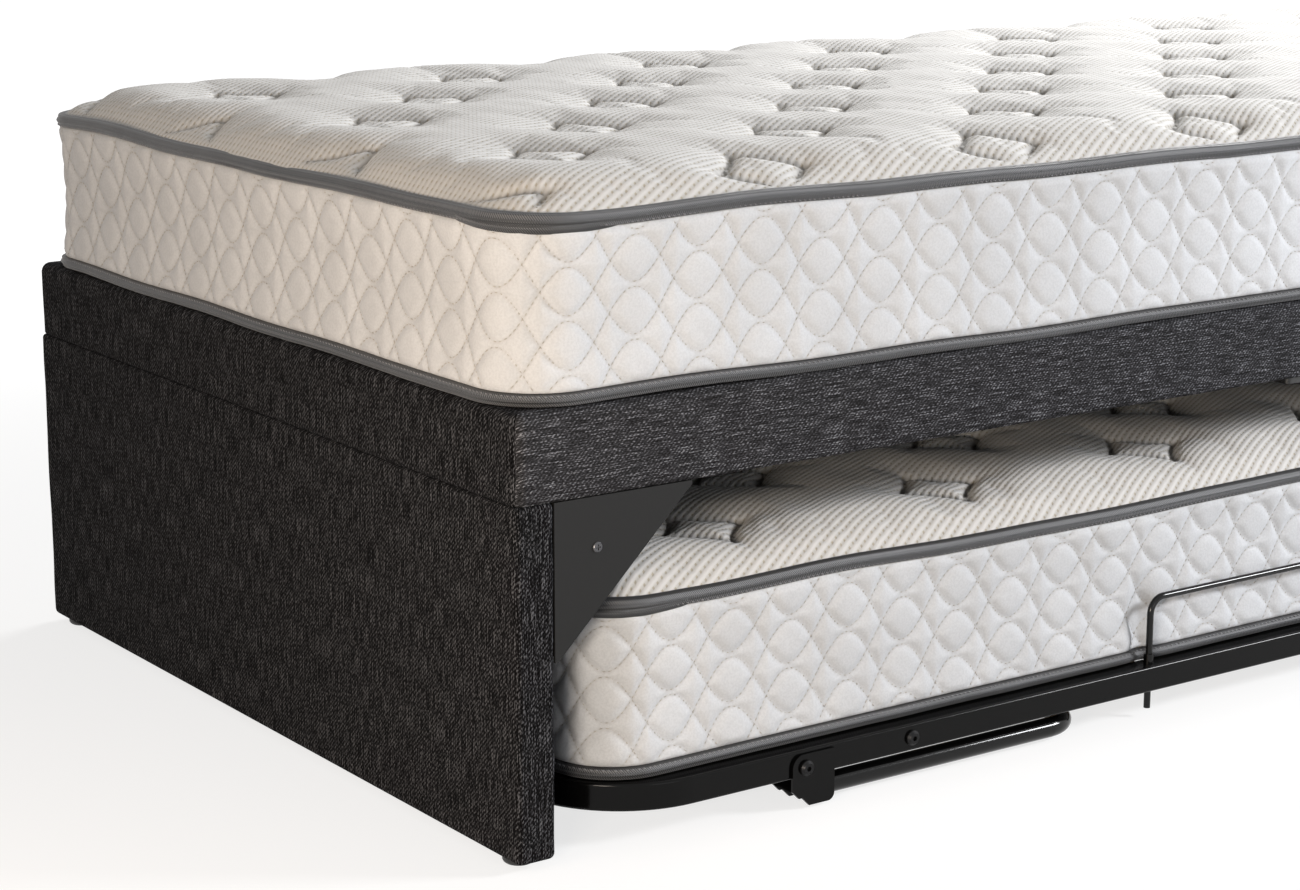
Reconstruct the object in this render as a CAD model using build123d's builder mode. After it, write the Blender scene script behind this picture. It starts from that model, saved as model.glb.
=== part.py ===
from build123d import *
import os

# Trundle bed: an upholstered single base on two end panels, with a second bed that rolls
# out from under it on a steel frame with fold-down legs.
# Millimetres. X runs along the bed with the foot end at -X, the trundle rolls out towards -Y,
# Z is up and the floor is Z = 0.

# Base and end panels
base_length = 1890
base_width = 920
base_height = 76
base_corner_radius = 14
base_edge_radius = 11
cover_wall = 5
panel_thickness = 38
panel_height = 305
panel_edge_radius = 12
panel_rim_radius = 4
panel_wall = 4
glide_height = 7
glide_radius = 14
glide_rim = 10
glide_inset = 30
glide_pin_radius = 2.4
glide_pin_length = 25

# Timber inside the base
dust_cover_thickness = 2
deck_pad_thickness = 8
deck_slat_thickness = 12
deck_slat_width = 70
deck_slat_pitch = 150
timber_thickness = 24
panel_bolt_radius = 4
panel_bolt_head_radius = 6.5
panel_bolt_head_height = 8
panel_bolt_depth = 40
panel_bolt_spacing = 640
underside_block_length = 100
underside_block_depth = 40
underside_block_height = 6

# Corner gussets under the base
gusset_reach = 138
gusset_drop = 135
gusset_tip = 3
gusset_thickness = 2.5
gusset_setback = 1
corner_block_thickness = 25
corner_block_margin = 5
gusset_screw_x = 42
gusset_screw_z = 43
gusset_screw_radius = 2.5
gusset_screw_head = 4.5
gusset_screw_head_height = 1.6
screw_recess_length = 5
screw_recess_width = 1.2
screw_recess_depth = 1

# Mattresses
mattress_inset = 7
mattress_corner_radius = 62
border_height = 134
border_draw = 7
binding_height = 12
binding_width = 9
binding_proud = 3.5
binding_round = 4.5
crown_height = 26
crown_shoulder = 30
crown_shoulder_rise = 16
crown_margin = 75
upper_tuft_pitch = 265
lower_tuft_pitch = 270
tuft_row_pitch = 138
tuft_size = 96
tuft_waist = 0.43
tuft_depth = 12
tuft_floor = 0.5

# Trundle frame
tube_size = 25
tube_wall = 1.5
tube_corner = 2.5
trundle_overhang = 6
trundle_end_gap = 25
lower_end_inset = 17
rail_clearance = 29
bow_radius = 97.5
joiner_length = 130
cross_tube_inset = 416
cross_tube_plug = 22
ledge_width = 20
ledge_thickness = 3
trundle_slat_thickness = 12
trundle_slat_width = 60
trundle_slat_pitch = 148
slat_clearance = 1

# Fold-down legs
leg_pivot_inset = 293
leg_pivot_drop = 3
leg_reach = 339
leg_tube_radius = 9.5
leg_tube_wall = 1.5
leg_bend_radius = 38
leg_floor_gap = 4
leg_socket_start = 11
leg_socket_floor = 1
leg_socket_roof = 2
cheek_thickness = 2.5
cheek_clearance = 0.4
cheek_left = 14.5
cheek_right = 32
cheek_top = 12.5
cheek_round = 12
cheek_step = 8
cheek_foot_radius = 7
cheek_chamfer = 7
cheek_step_x = 4
cheek_swing_gap = 3
joint_behind_pivot = 21

# Bolts, all of one size
bolt_radius = 4
bolt_head_radius = 7
bolt_head_height = 4.4
bolt_socket_radius = 2.5
bolt_socket_depth = 2.6
nut_radius = 6.5
nut_height = 7
running_clearance = 0.05
seat_gap = 0.2

# Mattress retainers
retainer_wire_radius = 3.25
retainer_half_span = 223
retainer_height = 64
retainer_bend_radius = 16
retainer_pin_drop = 20
retainer_collar_radius = 5
retainer_collar_height = 9
retainer_hole_clearance = 0.08
mattress_collar_gap = 0.5

# Rollers
wheel_radius = 19
wheel_width = 18
wheel_round = 2.5
wheel_recess_radius = 13
wheel_recess_depth = 3
wheel_side_gap = 1.5
wheel_top_gap = 1.2
wheel_y = 230
axle_radius = 3
axle_head_radius = 5
axle_head_height = 2
fork_thickness = 2.5
fork_half_width = 14
fork_below_axle = 6

# Heights and places that follow from the sizes above
base_bottom = glide_height + panel_height
base_top = base_bottom + base_height
half_length = base_length / 2
half_width = base_width / 2
cavity_length = base_length - 2 * cover_wall
cavity_width = base_width - 2 * cover_wall
deck_pad_bottom = base_top - cover_wall - deck_pad_thickness
deck_slat_bottom = deck_pad_bottom - deck_slat_thickness
timber_bottom = base_bottom + dust_cover_thickness
timber_height = deck_slat_bottom - timber_bottom
panel_x = half_length - panel_thickness / 2
glide_y = half_width - glide_inset

rail_z = rail_clearance + tube_size / 2
rail_top = rail_clearance + tube_size
rail_y = half_width + trundle_overhang - tube_size / 2
rail_inner_y = rail_y - tube_size / 2
bow_x = half_length - panel_thickness - trundle_end_gap - tube_size / 2
pivot_x = half_length - leg_pivot_inset
pivot_z = rail_z - leg_pivot_drop
joint_x = pivot_x - joint_behind_pivot
cross_tube_x = half_length - cross_tube_inset
leg_z = leg_floor_gap + leg_tube_radius
leg_bar_x = pivot_x - leg_reach
cheek_bottom = pivot_z - leg_floor_gap + leg_socket_floor
cheek_inner_y = rail_y + tube_size / 2 + cheek_clearance
cheek_outer_y = cheek_inner_y + cheek_thickness
slat_top = rail_top
slat_bottom = slat_top - trundle_slat_thickness
lower_mattress_bottom = slat_top + seat_gap
lower_width = 2 * (rail_y - retainer_collar_radius - mattress_collar_gap - binding_proud)
lower_length = 2 * (bow_x + tube_size / 2 - lower_end_inset - binding_proud)
upper_length = base_length - 2 * mattress_inset
upper_width = base_width - 2 * mattress_inset

os.makedirs("parts", exist_ok=True)


def save(piece, name):
    piece.label = name
    export_step(piece, f"parts/{name}.step")


def across(x, y, z):
    # A plane at a point whose normal runs across the bed, along +Y.
    return Plane(origin=(x, y, z), x_dir=(1, 0, 0), z_dir=(0, 1, 0))


def along(x, y, z):
    # A plane at a point whose normal runs along the bed, along +X.
    return Plane(origin=(x, y, z), x_dir=(0, 1, 0), z_dir=(1, 0, 0))


# Upholstered base: a padded fabric shell, open underneath, over a timber frame
with BuildPart() as base_cover:
    with BuildSketch(Plane.XY.offset(base_bottom)):
        RectangleRounded(base_length, base_width, base_corner_radius)
    extrude(amount=base_height)
    fillet(base_cover.faces().sort_by(Axis.Z)[-1].edges(), radius=base_edge_radius)
    with BuildSketch(Plane.XY.offset(base_bottom)):
        Rectangle(cavity_length, cavity_width)
    extrude(amount=base_height - cover_wall, mode=Mode.SUBTRACT)
save(base_cover.part, "base_cover")

with BuildPart() as long_rail:
    with BuildSketch(Plane.XY.offset(timber_bottom)):
        with Locations((0, -cavity_width / 2)):
            Rectangle(cavity_length, timber_thickness, align=(Align.CENTER, Align.MIN))
    extrude(amount=timber_height)
save(long_rail.part, "base_front_rail")

with BuildPart() as back_rail:
    mirror(long_rail.part, about=Plane.XZ)
save(back_rail.part, "base_back_rail")

panel_bolt_spots = [(-panel_x, -panel_bolt_spacing / 2), (-panel_x, panel_bolt_spacing / 2)]

with BuildPart() as end_rail:
    with BuildSketch(Plane.XY.offset(timber_bottom)):
        with Locations((-cavity_length / 2, 0)):
            Rectangle(timber_thickness, cavity_width - 2 * timber_thickness, align=(Align.MIN, Align.CENTER))
    extrude(amount=timber_height)
    with Locations([(x, y, deck_slat_bottom) for x, y in panel_bolt_spots]):
        CounterBoreHole(
            radius=panel_bolt_radius + running_clearance,
            counter_bore_radius=panel_bolt_head_radius + running_clearance,
            counter_bore_depth=panel_bolt_head_height,
        )
save(end_rail.part, "base_foot_rail")

with BuildPart() as head_rail:
    mirror(end_rail.part, about=Plane.YZ)
save(head_rail.part, "base_head_rail")

with BuildPart() as centre_rail:
    with BuildSketch(Plane.XY.offset(timber_bottom)):
        Rectangle(cavity_length - 2 * timber_thickness, timber_thickness)
    extrude(amount=timber_height)
save(centre_rail.part, "base_centre_rail")

deck_slat_count = int(cavity_length / deck_slat_pitch)
with BuildPart() as deck_slats:
    with BuildSketch(Plane.XY.offset(deck_slat_bottom)):
        with GridLocations(deck_slat_pitch, 0, deck_slat_count, 1):
            Rectangle(deck_slat_width, cavity_width)
    extrude(amount=deck_slat_thickness)
save(deck_slats.part, "deck_slats")

with BuildPart() as deck_pad:
    with BuildSketch(Plane.XY.offset(deck_pad_bottom)):
        Rectangle(cavity_length, cavity_width)
    extrude(amount=deck_pad_thickness)
save(deck_pad.part, "deck_pad")

both_ends_bolt_spots = panel_bolt_spots + [(-x, y) for x, y in panel_bolt_spots]
with BuildPart() as dust_cover:
    with BuildSketch(Plane.XY.offset(base_bottom)):
        Rectangle(cavity_length, cavity_width)
        with Locations(both_ends_bolt_spots):
            Circle(panel_bolt_radius + running_clearance, mode=Mode.SUBTRACT)
    extrude(amount=dust_cover_thickness)
save(dust_cover.part, "dust_cover")

with BuildPart() as underside_blocks:
    with BuildSketch(Plane.XY.offset(base_bottom - underside_block_height)):
        with GridLocations(0, base_width - 2 * cover_wall - underside_block_depth, 1, 2):
            RectangleRounded(underside_block_length, underside_block_depth, cover_wall)
    extrude(amount=underside_block_height)
save(underside_blocks.part, "underside_blocks")

# End panels: fabric sleeves, open at the top where the base closes them, over a board
board_thickness = panel_thickness - 2 * panel_wall
board_width = base_width - 2 * panel_wall
board_bottom = glide_height + panel_wall
glide_spots = [(-panel_x, -glide_y), (-panel_x, glide_y)]

with BuildPart() as panel_cover:
    with BuildSketch(Plane.XY.offset(glide_height)):
        with Locations((-panel_x, 0)):
            RectangleRounded(panel_thickness, base_width, panel_edge_radius)
    extrude(amount=panel_height)
    fillet(panel_cover.faces().sort_by(Axis.Z)[0].edges(), radius=panel_rim_radius)
    fillet(panel_cover.faces().sort_by(Axis.Z)[-1].edges(), radius=panel_rim_radius - 1)
    with BuildSketch(Plane.XY.offset(board_bottom)):
        with Locations((-panel_x, 0)):
            RectangleRounded(board_thickness, board_width, panel_edge_radius - panel_wall)
    extrude(amount=panel_height, mode=Mode.SUBTRACT)
    with BuildSketch(Plane.XY.offset(glide_height)):
        with Locations(glide_spots):
            Circle(glide_pin_radius + running_clearance)
    extrude(amount=panel_wall, mode=Mode.SUBTRACT)
save(panel_cover.part, "foot_panel_cover")

with BuildPart() as head_panel_cover:
    mirror(panel_cover.part, about=Plane.YZ)
save(head_panel_cover.part, "head_panel_cover")

with BuildPart() as panel_board:
    with BuildSketch(Plane.XY.offset(board_bottom)):
        with Locations((-panel_x, 0)):
            RectangleRounded(board_thickness, board_width, panel_edge_radius - panel_wall)
    extrude(amount=panel_height - panel_wall)
    with BuildSketch(Plane.XY.offset(board_bottom)):
        with Locations(glide_spots):
            Circle(glide_pin_radius + running_clearance)
    extrude(amount=glide_pin_length, mode=Mode.SUBTRACT)
    with BuildSketch(Plane.XY.offset(base_bottom)):
        with Locations(panel_bolt_spots):
            Circle(panel_bolt_radius + running_clearance)
    extrude(amount=-panel_bolt_depth, mode=Mode.SUBTRACT)
save(panel_board.part, "foot_panel_board")

with BuildPart() as head_panel_board:
    mirror(panel_board.part, about=Plane.YZ)
save(head_panel_board.part, "head_panel_board")

with BuildPart() as panel_bolts:
    with BuildSketch(Plane.XY.offset(deck_slat_bottom)):
        with Locations(both_ends_bolt_spots):
            Circle(panel_bolt_head_radius)
    extrude(amount=-panel_bolt_head_height)
    with BuildSketch(Plane.XY.offset(deck_slat_bottom)):
        with Locations(both_ends_bolt_spots):
            Circle(panel_bolt_radius)
    extrude(amount=base_bottom - panel_bolt_depth - deck_slat_bottom)
save(panel_bolts.part, "panel_bolts")

# Domed plastic glides with a nail that goes up into the board
rim_top = glide_height / 2
pin_top = glide_height + glide_pin_length
with BuildPart() as glides:
    for spot_x, spot_y in glide_spots:
        with BuildSketch(Plane(origin=(spot_x, spot_y, 0), x_dir=(1, 0, 0), z_dir=(0, -1, 0))):
            with BuildLine():
                Line((0, 0), (glide_rim, 0))
                ThreePointArc((glide_rim, 0), (glide_radius - 1, glide_height / 4), (glide_radius, rim_top))
                Line((glide_radius, rim_top), (glide_radius, glide_height))
                Line((glide_radius, glide_height), (glide_pin_radius, glide_height))
                Line((glide_pin_radius, glide_height), (glide_pin_radius, pin_top))
                Line((glide_pin_radius, pin_top), (0, pin_top))
                Line((0, pin_top), (0, 0))
            make_face()
        revolve(axis=Axis((spot_x, spot_y, 0), (0, 0, 1)))
save(glides.part, "foot_panel_glides")

with BuildPart() as head_glides:
    mirror(glides.part, about=Plane.YZ)
save(head_glides.part, "head_panel_glides")

# Corner gussets: a steel triangle screwed to a timber block in each corner under the base
gusset_corner_x = panel_thickness - half_length
gusset_face_y = half_width - gusset_setback
screw_x = gusset_corner_x + gusset_screw_x
screw_z = base_bottom - gusset_screw_z


def corner_triangle(reach, drop, tip):
    Polyline(
        (gusset_corner_x, base_bottom),
        (gusset_corner_x + reach, base_bottom),
        (gusset_corner_x + reach, base_bottom - tip),
        (gusset_corner_x + tip, base_bottom - drop),
        (gusset_corner_x, base_bottom - drop),
        close=True,
    )


with BuildPart() as gusset:
    with BuildSketch(Plane.XZ.offset(gusset_face_y)):
        with BuildLine():
            corner_triangle(gusset_reach, gusset_drop, gusset_tip)
        make_face()
    extrude(amount=-gusset_thickness)
    with Locations(across(screw_x, -gusset_face_y, screw_z)):
        Cylinder(gusset_screw_radius + running_clearance, 3 * gusset_thickness, mode=Mode.SUBTRACT)

with BuildPart() as corner_block:
    with BuildSketch(Plane.XZ.offset(gusset_face_y - gusset_thickness)):
        with BuildLine():
            corner_triangle(gusset_reach - corner_block_margin, gusset_drop - corner_block_margin, gusset_tip)
        make_face()
    extrude(amount=-corner_block_thickness)
    with Locations(across(screw_x, -gusset_face_y, screw_z)):
        Cylinder(gusset_screw_radius + running_clearance, 3 * corner_block_thickness, mode=Mode.SUBTRACT)

with BuildPart() as gusset_screw:
    with BuildSketch(Plane.XZ.offset(gusset_face_y + gusset_screw_head_height)):
        with Locations((screw_x, screw_z)):
            Circle(gusset_screw_head)
    extrude(amount=-gusset_screw_head_height)
    chamfer(gusset_screw.edges().sort_by(Axis.Y)[0], length=gusset_screw_head_height / 2)
    with BuildSketch(Plane.XZ.offset(gusset_face_y)):
        with Locations((screw_x, screw_z)):
            Circle(gusset_screw_radius)
    extrude(amount=-gusset_thickness - corner_block_thickness)
    with BuildSketch(Plane.XZ.offset(gusset_face_y + gusset_screw_head_height)):
        with Locations((screw_x, screw_z)):
            Rectangle(screw_recess_length, screw_recess_width)
            Rectangle(screw_recess_width, screw_recess_length)
    extrude(amount=-screw_recess_depth, mode=Mode.SUBTRACT)


def place_in_corner(piece, at_head, at_back):
    with BuildPart() as placed:
        add(piece)
        if at_head:
            mirror(about=Plane.YZ, mode=Mode.REPLACE)
        if at_back:
            mirror(about=Plane.XZ, mode=Mode.REPLACE)
    return placed.part


corners = [("foot", "front"), ("foot", "back"), ("head", "front"), ("head", "back")]
for end, side in corners:
    save(place_in_corner(gusset.part, end == "head", side == "back"), f"gusset_{end}_{side}")
    save(place_in_corner(corner_block.part, end == "head", side == "back"), f"corner_block_{end}_{side}")

with BuildPart() as gusset_screws:
    for end, side in corners:
        add(place_in_corner(gusset_screw.part, end == "head", side == "back"))
save(gusset_screws.part, "gusset_screws")


# Mattresses: bottom panel, drawn-in border, crowned and tufted top panel and two tape bindings
def mattress_outline(length, width, inset):
    RectangleRounded(length - 2 * inset, width - 2 * inset, mattress_corner_radius - inset)


with BuildPart() as tuft:
    for depth, size in ((0, 1), (tuft_depth, tuft_floor)):
        tip = size * tuft_size / 2
        waist = tuft_waist * tip
        with BuildSketch(Plane.XY.offset(-depth)):
            with BuildLine():
                ThreePointArc((tip, 0), (waist, waist), (0, tip))
                ThreePointArc((0, tip), (-waist, waist), (-tip, 0))
                ThreePointArc((-tip, 0), (-waist, -waist), (0, -tip))
                ThreePointArc((0, -tip), (waist, -waist), (tip, 0))
            make_face()
    loft(ruled=True)


def tuft_spots(length, width, pitch, first_row):
    # Rows are counted in half pitches from the middle, and every other row is shifted along the bed.
    reach_x = length / 2 - crown_shoulder - tuft_size / 2
    reach_y = width / 2 - crown_shoulder - tuft_size / 2
    row_step = tuft_row_pitch / 2
    spots = []
    for row in range(first_row, int(reach_y / row_step) + 1, 2):
        shift = (row + 1) // 2 % 2 / 2
        column_count = int(reach_x / pitch + shift)
        for column in range(-column_count, column_count + 1):
            spot_x = (column + shift) * pitch
            if abs(spot_x) < reach_x:
                spots += [(spot_x, spot_y) for spot_y in sorted({-row * row_step, row * row_step})]
    return spots


def binding_ring(length, width, bottom):
    with BuildPart() as ring:
        with BuildSketch(Plane.XY.offset(bottom)):
            mattress_outline(length, width, -binding_proud)
        extrude(amount=binding_height)
        fillet(ring.faces().sort_by(Axis.Z)[0].edges(), radius=binding_round)
        fillet(ring.faces().sort_by(Axis.Z)[-1].edges(), radius=binding_round)
        with BuildSketch(Plane.XY.offset(bottom)):
            mattress_outline(length, width, binding_width)
        extrude(amount=binding_height, mode=Mode.SUBTRACT)
    return ring.part


def make_mattress(prefix, length, width, bottom, tufts):
    border_bottom = bottom + binding_height
    border_top = border_bottom + border_height
    crown_bottom = border_top + binding_height
    panel_inset = binding_width + seat_gap

    with BuildPart() as bottom_panel:
        with BuildSketch(Plane.XY.offset(bottom)):
            mattress_outline(length, width, panel_inset)
        extrude(amount=binding_height)
    save(bottom_panel.part, f"{prefix}_bottom_panel")

    with BuildPart() as border:
        for level, draw in ((0, 0), (0.5, border_draw), (1, 0)):
            with BuildSketch(Plane.XY.offset(border_bottom + level * border_height)):
                mattress_outline(length, width, draw)
        loft()
    save(border.part, f"{prefix}_border")

    with BuildPart() as top_panel:
        with BuildSketch(Plane.XY.offset(border_top)):
            mattress_outline(length, width, panel_inset)
        extrude(amount=binding_height)
        crown_steps = ((0, panel_inset), (crown_shoulder_rise, crown_shoulder), (crown_height, crown_margin))
        for rise, inset in crown_steps:
            with BuildSketch(Plane.XY.offset(crown_bottom + rise)):
                RectangleRounded(length - 2 * inset, width - 2 * inset, mattress_corner_radius - panel_inset)
        loft()
        with Locations([(x, y, crown_bottom + crown_height) for x, y in tufts]):
            add(tuft.part, mode=Mode.SUBTRACT)
    save(top_panel.part, f"{prefix}_top_panel")

    save(binding_ring(length, width, bottom), f"{prefix}_bottom_binding")
    save(binding_ring(length, width, border_top), f"{prefix}_top_binding")


upper_tufts = tuft_spots(upper_length, upper_width, upper_tuft_pitch, 0)
lower_tufts = tuft_spots(lower_length, lower_width, lower_tuft_pitch, 1)
make_mattress("upper_mattress", upper_length, upper_width, base_top, upper_tufts)
make_mattress("lower_mattress", lower_length, lower_width, lower_mattress_bottom, lower_tufts)


# Trundle frame of steel box tube: a bent bow at each end, two side rails and two cross tubes
def tube_section():
    RectangleRounded(tube_size, tube_size, tube_corner)
    Rectangle(tube_bore, tube_bore, mode=Mode.SUBTRACT)


tube_bore = tube_size - 2 * tube_wall
bolt_hole_radius = bolt_radius + running_clearance

with BuildPart() as foot_bow:
    with BuildLine(Plane.XY.offset(rail_z)) as bow_line:
        FilletPolyline(
            (-joint_x, -rail_y), (-bow_x, -rail_y), (-bow_x, rail_y), (-joint_x, rail_y), radius=bow_radius
        )
    with BuildSketch(Plane(origin=bow_line.line @ 0, z_dir=bow_line.line % 0)):
        tube_section()
    sweep()
    with Locations(across(-pivot_x, -rail_y, pivot_z), across(-pivot_x, rail_y, pivot_z)):
        Cylinder(bolt_hole_radius, 2 * tube_size, mode=Mode.SUBTRACT)
save(foot_bow.part, "trundle_foot_bow")

with BuildPart() as head_bow:
    mirror(foot_bow.part, about=Plane.YZ)
save(head_bow.part, "trundle_head_bow")

with BuildPart() as side_rail:
    with BuildSketch(along(-joint_x, -rail_y, rail_z)):
        tube_section()
    extrude(amount=2 * joint_x)
    with Locations(across(-cross_tube_x, -rail_y, rail_z), across(cross_tube_x, -rail_y, rail_z)):
        Cylinder(bolt_hole_radius, 2 * tube_size, mode=Mode.SUBTRACT)
    with Locations((-retainer_half_span, -rail_y, rail_z), (retainer_half_span, -rail_y, rail_z)):
        Cylinder(retainer_wire_radius + retainer_hole_clearance, 2 * tube_size, mode=Mode.SUBTRACT)
save(side_rail.part, "trundle_front_rail")

with BuildPart() as back_side_rail:
    mirror(side_rail.part, about=Plane.XZ)
save(back_side_rail.part, "trundle_back_rail")

joiner_size = tube_bore - 2 * running_clearance
with BuildPart() as joiner:
    with BuildSketch(along(-joint_x - joiner_length / 2, -rail_y, rail_z)):
        Rectangle(joiner_size, joiner_size)
        Rectangle(joiner_size - 2 * tube_wall, joiner_size - 2 * tube_wall, mode=Mode.SUBTRACT)
    extrude(amount=joiner_length)
    with Locations(across(-pivot_x, -rail_y, pivot_z)):
        Cylinder(bolt_hole_radius, 2 * tube_size, mode=Mode.SUBTRACT)


def in_four_corners(piece):
    with BuildPart() as group:
        for end, side in corners:
            add(place_in_corner(piece, end == "head", side == "back"))
    return group.part


save(in_four_corners(joiner.part), "rail_joiners")

with BuildPart() as cross_tube:
    with BuildSketch(across(-cross_tube_x, -rail_inner_y, rail_z)):
        RectangleRounded(tube_size, tube_size, tube_corner)
    extrude(amount=2 * rail_inner_y)
    with BuildSketch(across(-cross_tube_x, cross_tube_plug - rail_inner_y, rail_z)):
        Rectangle(tube_bore, tube_bore)
    extrude(amount=2 * (rail_inner_y - cross_tube_plug), mode=Mode.SUBTRACT)
    with Locations(across(-cross_tube_x, 0, rail_z)):
        Cylinder(bolt_hole_radius, 4 * rail_inner_y, mode=Mode.SUBTRACT)
save(cross_tube.part, "cross_tube_foot")

with BuildPart() as head_cross_tube:
    mirror(cross_tube.part, about=Plane.YZ)
save(head_cross_tube.part, "cross_tube_head")

# Slats lie on ledges between the cross tubes and clear of the swing of the leg brackets
ledge_breaks = [
    (-bow_x + bow_radius, -pivot_x - cheek_bottom - cheek_swing_gap),
    (-pivot_x + cheek_right + cheek_swing_gap, -cross_tube_x - tube_size / 2),
]
ledge_spans = ledge_breaks + [(-cross_tube_x + tube_size / 2, cross_tube_x - tube_size / 2)]
ledge_spans += [(-end, -start) for start, end in reversed(ledge_breaks)]

with BuildPart() as slat_ledges:
    for start, end in ledge_spans:
        with BuildSketch(Plane.XY.offset(slat_bottom - ledge_thickness)):
            with Locations(((start + end) / 2, ledge_width / 2 - rail_inner_y)):
                Rectangle(end - start, ledge_width)
            with Locations(((start + end) / 2, rail_inner_y - ledge_width / 2)):
                Rectangle(end - start, ledge_width)
        extrude(amount=ledge_thickness)
save(slat_ledges.part, "slat_ledges")

with BuildPart() as trundle_slats:
    for start, end in ledge_spans:
        slat_count = max(1, int((end - start) / trundle_slat_pitch))
        step = (end - start) / slat_count
        with BuildSketch(Plane.XY.offset(slat_bottom)):
            with Locations([(start + (slat + 0.5) * step, 0) for slat in range(slat_count)]):
                Rectangle(trundle_slat_width, 2 * (rail_inner_y - slat_clearance))
        extrude(amount=trundle_slat_thickness)
save(trundle_slats.part, "trundle_slats")


# Button-head bolts with a hexagon socket, the head on the front face and the shank running back
def button_bolt(x, z, face_y, length):
    with BuildPart() as bolt:
        with BuildSketch(Plane.XZ.offset(face_y + bolt_head_height)):
            with Locations((x, z)):
                Circle(bolt_head_radius)
        extrude(amount=-bolt_head_height)
        chamfer(bolt.edges().sort_by(Axis.Y)[0], length=bolt_head_height / 2)
        with BuildSketch(Plane.XZ.offset(face_y)):
            with Locations((x, z)):
                Circle(bolt_radius)
        extrude(amount=-length)
        with BuildSketch(Plane.XZ.offset(face_y + bolt_head_height)):
            with Locations((x, z)):
                RegularPolygon(bolt_socket_radius, 6)
        extrude(amount=-bolt_socket_depth, mode=Mode.SUBTRACT)
    return bolt.part


rail_face_y = rail_y + tube_size / 2
cross_bolt = button_bolt(-cross_tube_x, rail_z, rail_face_y, tube_size + cross_tube_plug)
save(in_four_corners(cross_bolt), "cross_tube_bolts")

pivot_face_y = cheek_outer_y + seat_gap
nut_face_y = rail_inner_y - cheek_clearance - cheek_thickness - seat_gap
pivot_bolt = button_bolt(-pivot_x, pivot_z, pivot_face_y, pivot_face_y - nut_face_y + nut_height)
save(in_four_corners(pivot_bolt), "leg_pivot_bolts")

with BuildPart() as pivot_nut:
    with BuildSketch(Plane.XZ.offset(nut_face_y)):
        with Locations((-pivot_x, pivot_z)):
            RegularPolygon(nut_radius, 6)
            Circle(bolt_hole_radius, mode=Mode.SUBTRACT)
    extrude(amount=-nut_height)
save(in_four_corners(pivot_nut.part), "leg_pivot_nuts")

# Fold-down legs: a bent round tube whose two ends sit in brackets that straddle the side rails
leg_end_x = -pivot_x + leg_socket_start + leg_socket_floor
with BuildPart() as foot_leg_tube:
    with BuildLine(Plane.XY.offset(leg_z)) as leg_line:
        FilletPolyline(
            (leg_end_x, -rail_y), (-leg_bar_x, -rail_y), (-leg_bar_x, rail_y), (leg_end_x, rail_y),
            radius=leg_bend_radius,
        )
    with BuildSketch(Plane(origin=leg_line.line @ 0, z_dir=leg_line.line % 0)):
        Circle(leg_tube_radius)
        Circle(leg_tube_radius - leg_tube_wall, mode=Mode.SUBTRACT)
    sweep()
save(foot_leg_tube.part, "foot_leg_tube")


def cheek_outline():
    left = -pivot_x - cheek_left
    right = -pivot_x + cheek_right
    top = pivot_z + cheek_top
    bottom = pivot_z - cheek_bottom
    step_x = -pivot_x + cheek_step_x
    step_z = bottom + cheek_step
    diagonal = 0.5**0.5
    round_x = left + cheek_round
    round_z = top - cheek_round
    foot_x = right - cheek_foot_radius
    foot_z = bottom + cheek_foot_radius
    ThreePointArc(
        (left, round_z), (round_x - diagonal * cheek_round, round_z + diagonal * cheek_round), (round_x, top)
    )
    Polyline((round_x, top), (right, top), (right, foot_z))
    ThreePointArc(
        (right, foot_z),
        (foot_x + diagonal * cheek_foot_radius, foot_z - diagonal * cheek_foot_radius),
        (foot_x, bottom),
    )
    Polyline(
        (foot_x, bottom),
        (step_x, bottom),
        (step_x - cheek_step, step_z),
        (left + cheek_chamfer, step_z),
        (left, step_z + cheek_chamfer),
        (left, round_z),
    )


socket_roof_z = leg_z + leg_tube_radius + leg_socket_roof
socket_floor_z = pivot_z - cheek_bottom
with BuildPart() as leg_bracket:
    for cheek_y in (cheek_outer_y, rail_inner_y - cheek_clearance):
        with BuildSketch(Plane.XZ.offset(cheek_y)):
            with BuildLine():
                cheek_outline()
            make_face()
        extrude(amount=-cheek_thickness)
    with BuildSketch(Plane.XZ.offset(cheek_inner_y)):
        with BuildLine():
            Polyline(
                (-pivot_x + leg_socket_start, socket_floor_z),
                (-pivot_x + cheek_right - cheek_foot_radius, socket_floor_z),
                (-pivot_x + cheek_right - cheek_foot_radius, socket_roof_z),
                (-pivot_x + leg_socket_start, socket_roof_z),
                close=True,
            )
        make_face()
    extrude(amount=-tube_size - 2 * cheek_clearance)
    with Locations(along(-pivot_x, -rail_y, leg_z)):
        Cylinder(leg_tube_radius + running_clearance, 4 * cheek_right, mode=Mode.SUBTRACT)
    with Locations(across(-pivot_x, -rail_y, pivot_z)):
        Cylinder(bolt_hole_radius, 4 * tube_size, mode=Mode.SUBTRACT)

with BuildPart() as foot_leg_brackets:
    add(leg_bracket.part)
    mirror(leg_bracket.part, about=Plane.XZ)
save(foot_leg_brackets.part, "foot_leg_brackets")

with BuildPart() as head_leg_tube:
    mirror(foot_leg_tube.part, about=Plane.YZ)
save(head_leg_tube.part, "head_leg_tube")

with BuildPart() as head_leg_brackets:
    mirror(foot_leg_brackets.part, about=Plane.YZ)
save(head_leg_brackets.part, "head_leg_brackets")

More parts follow.
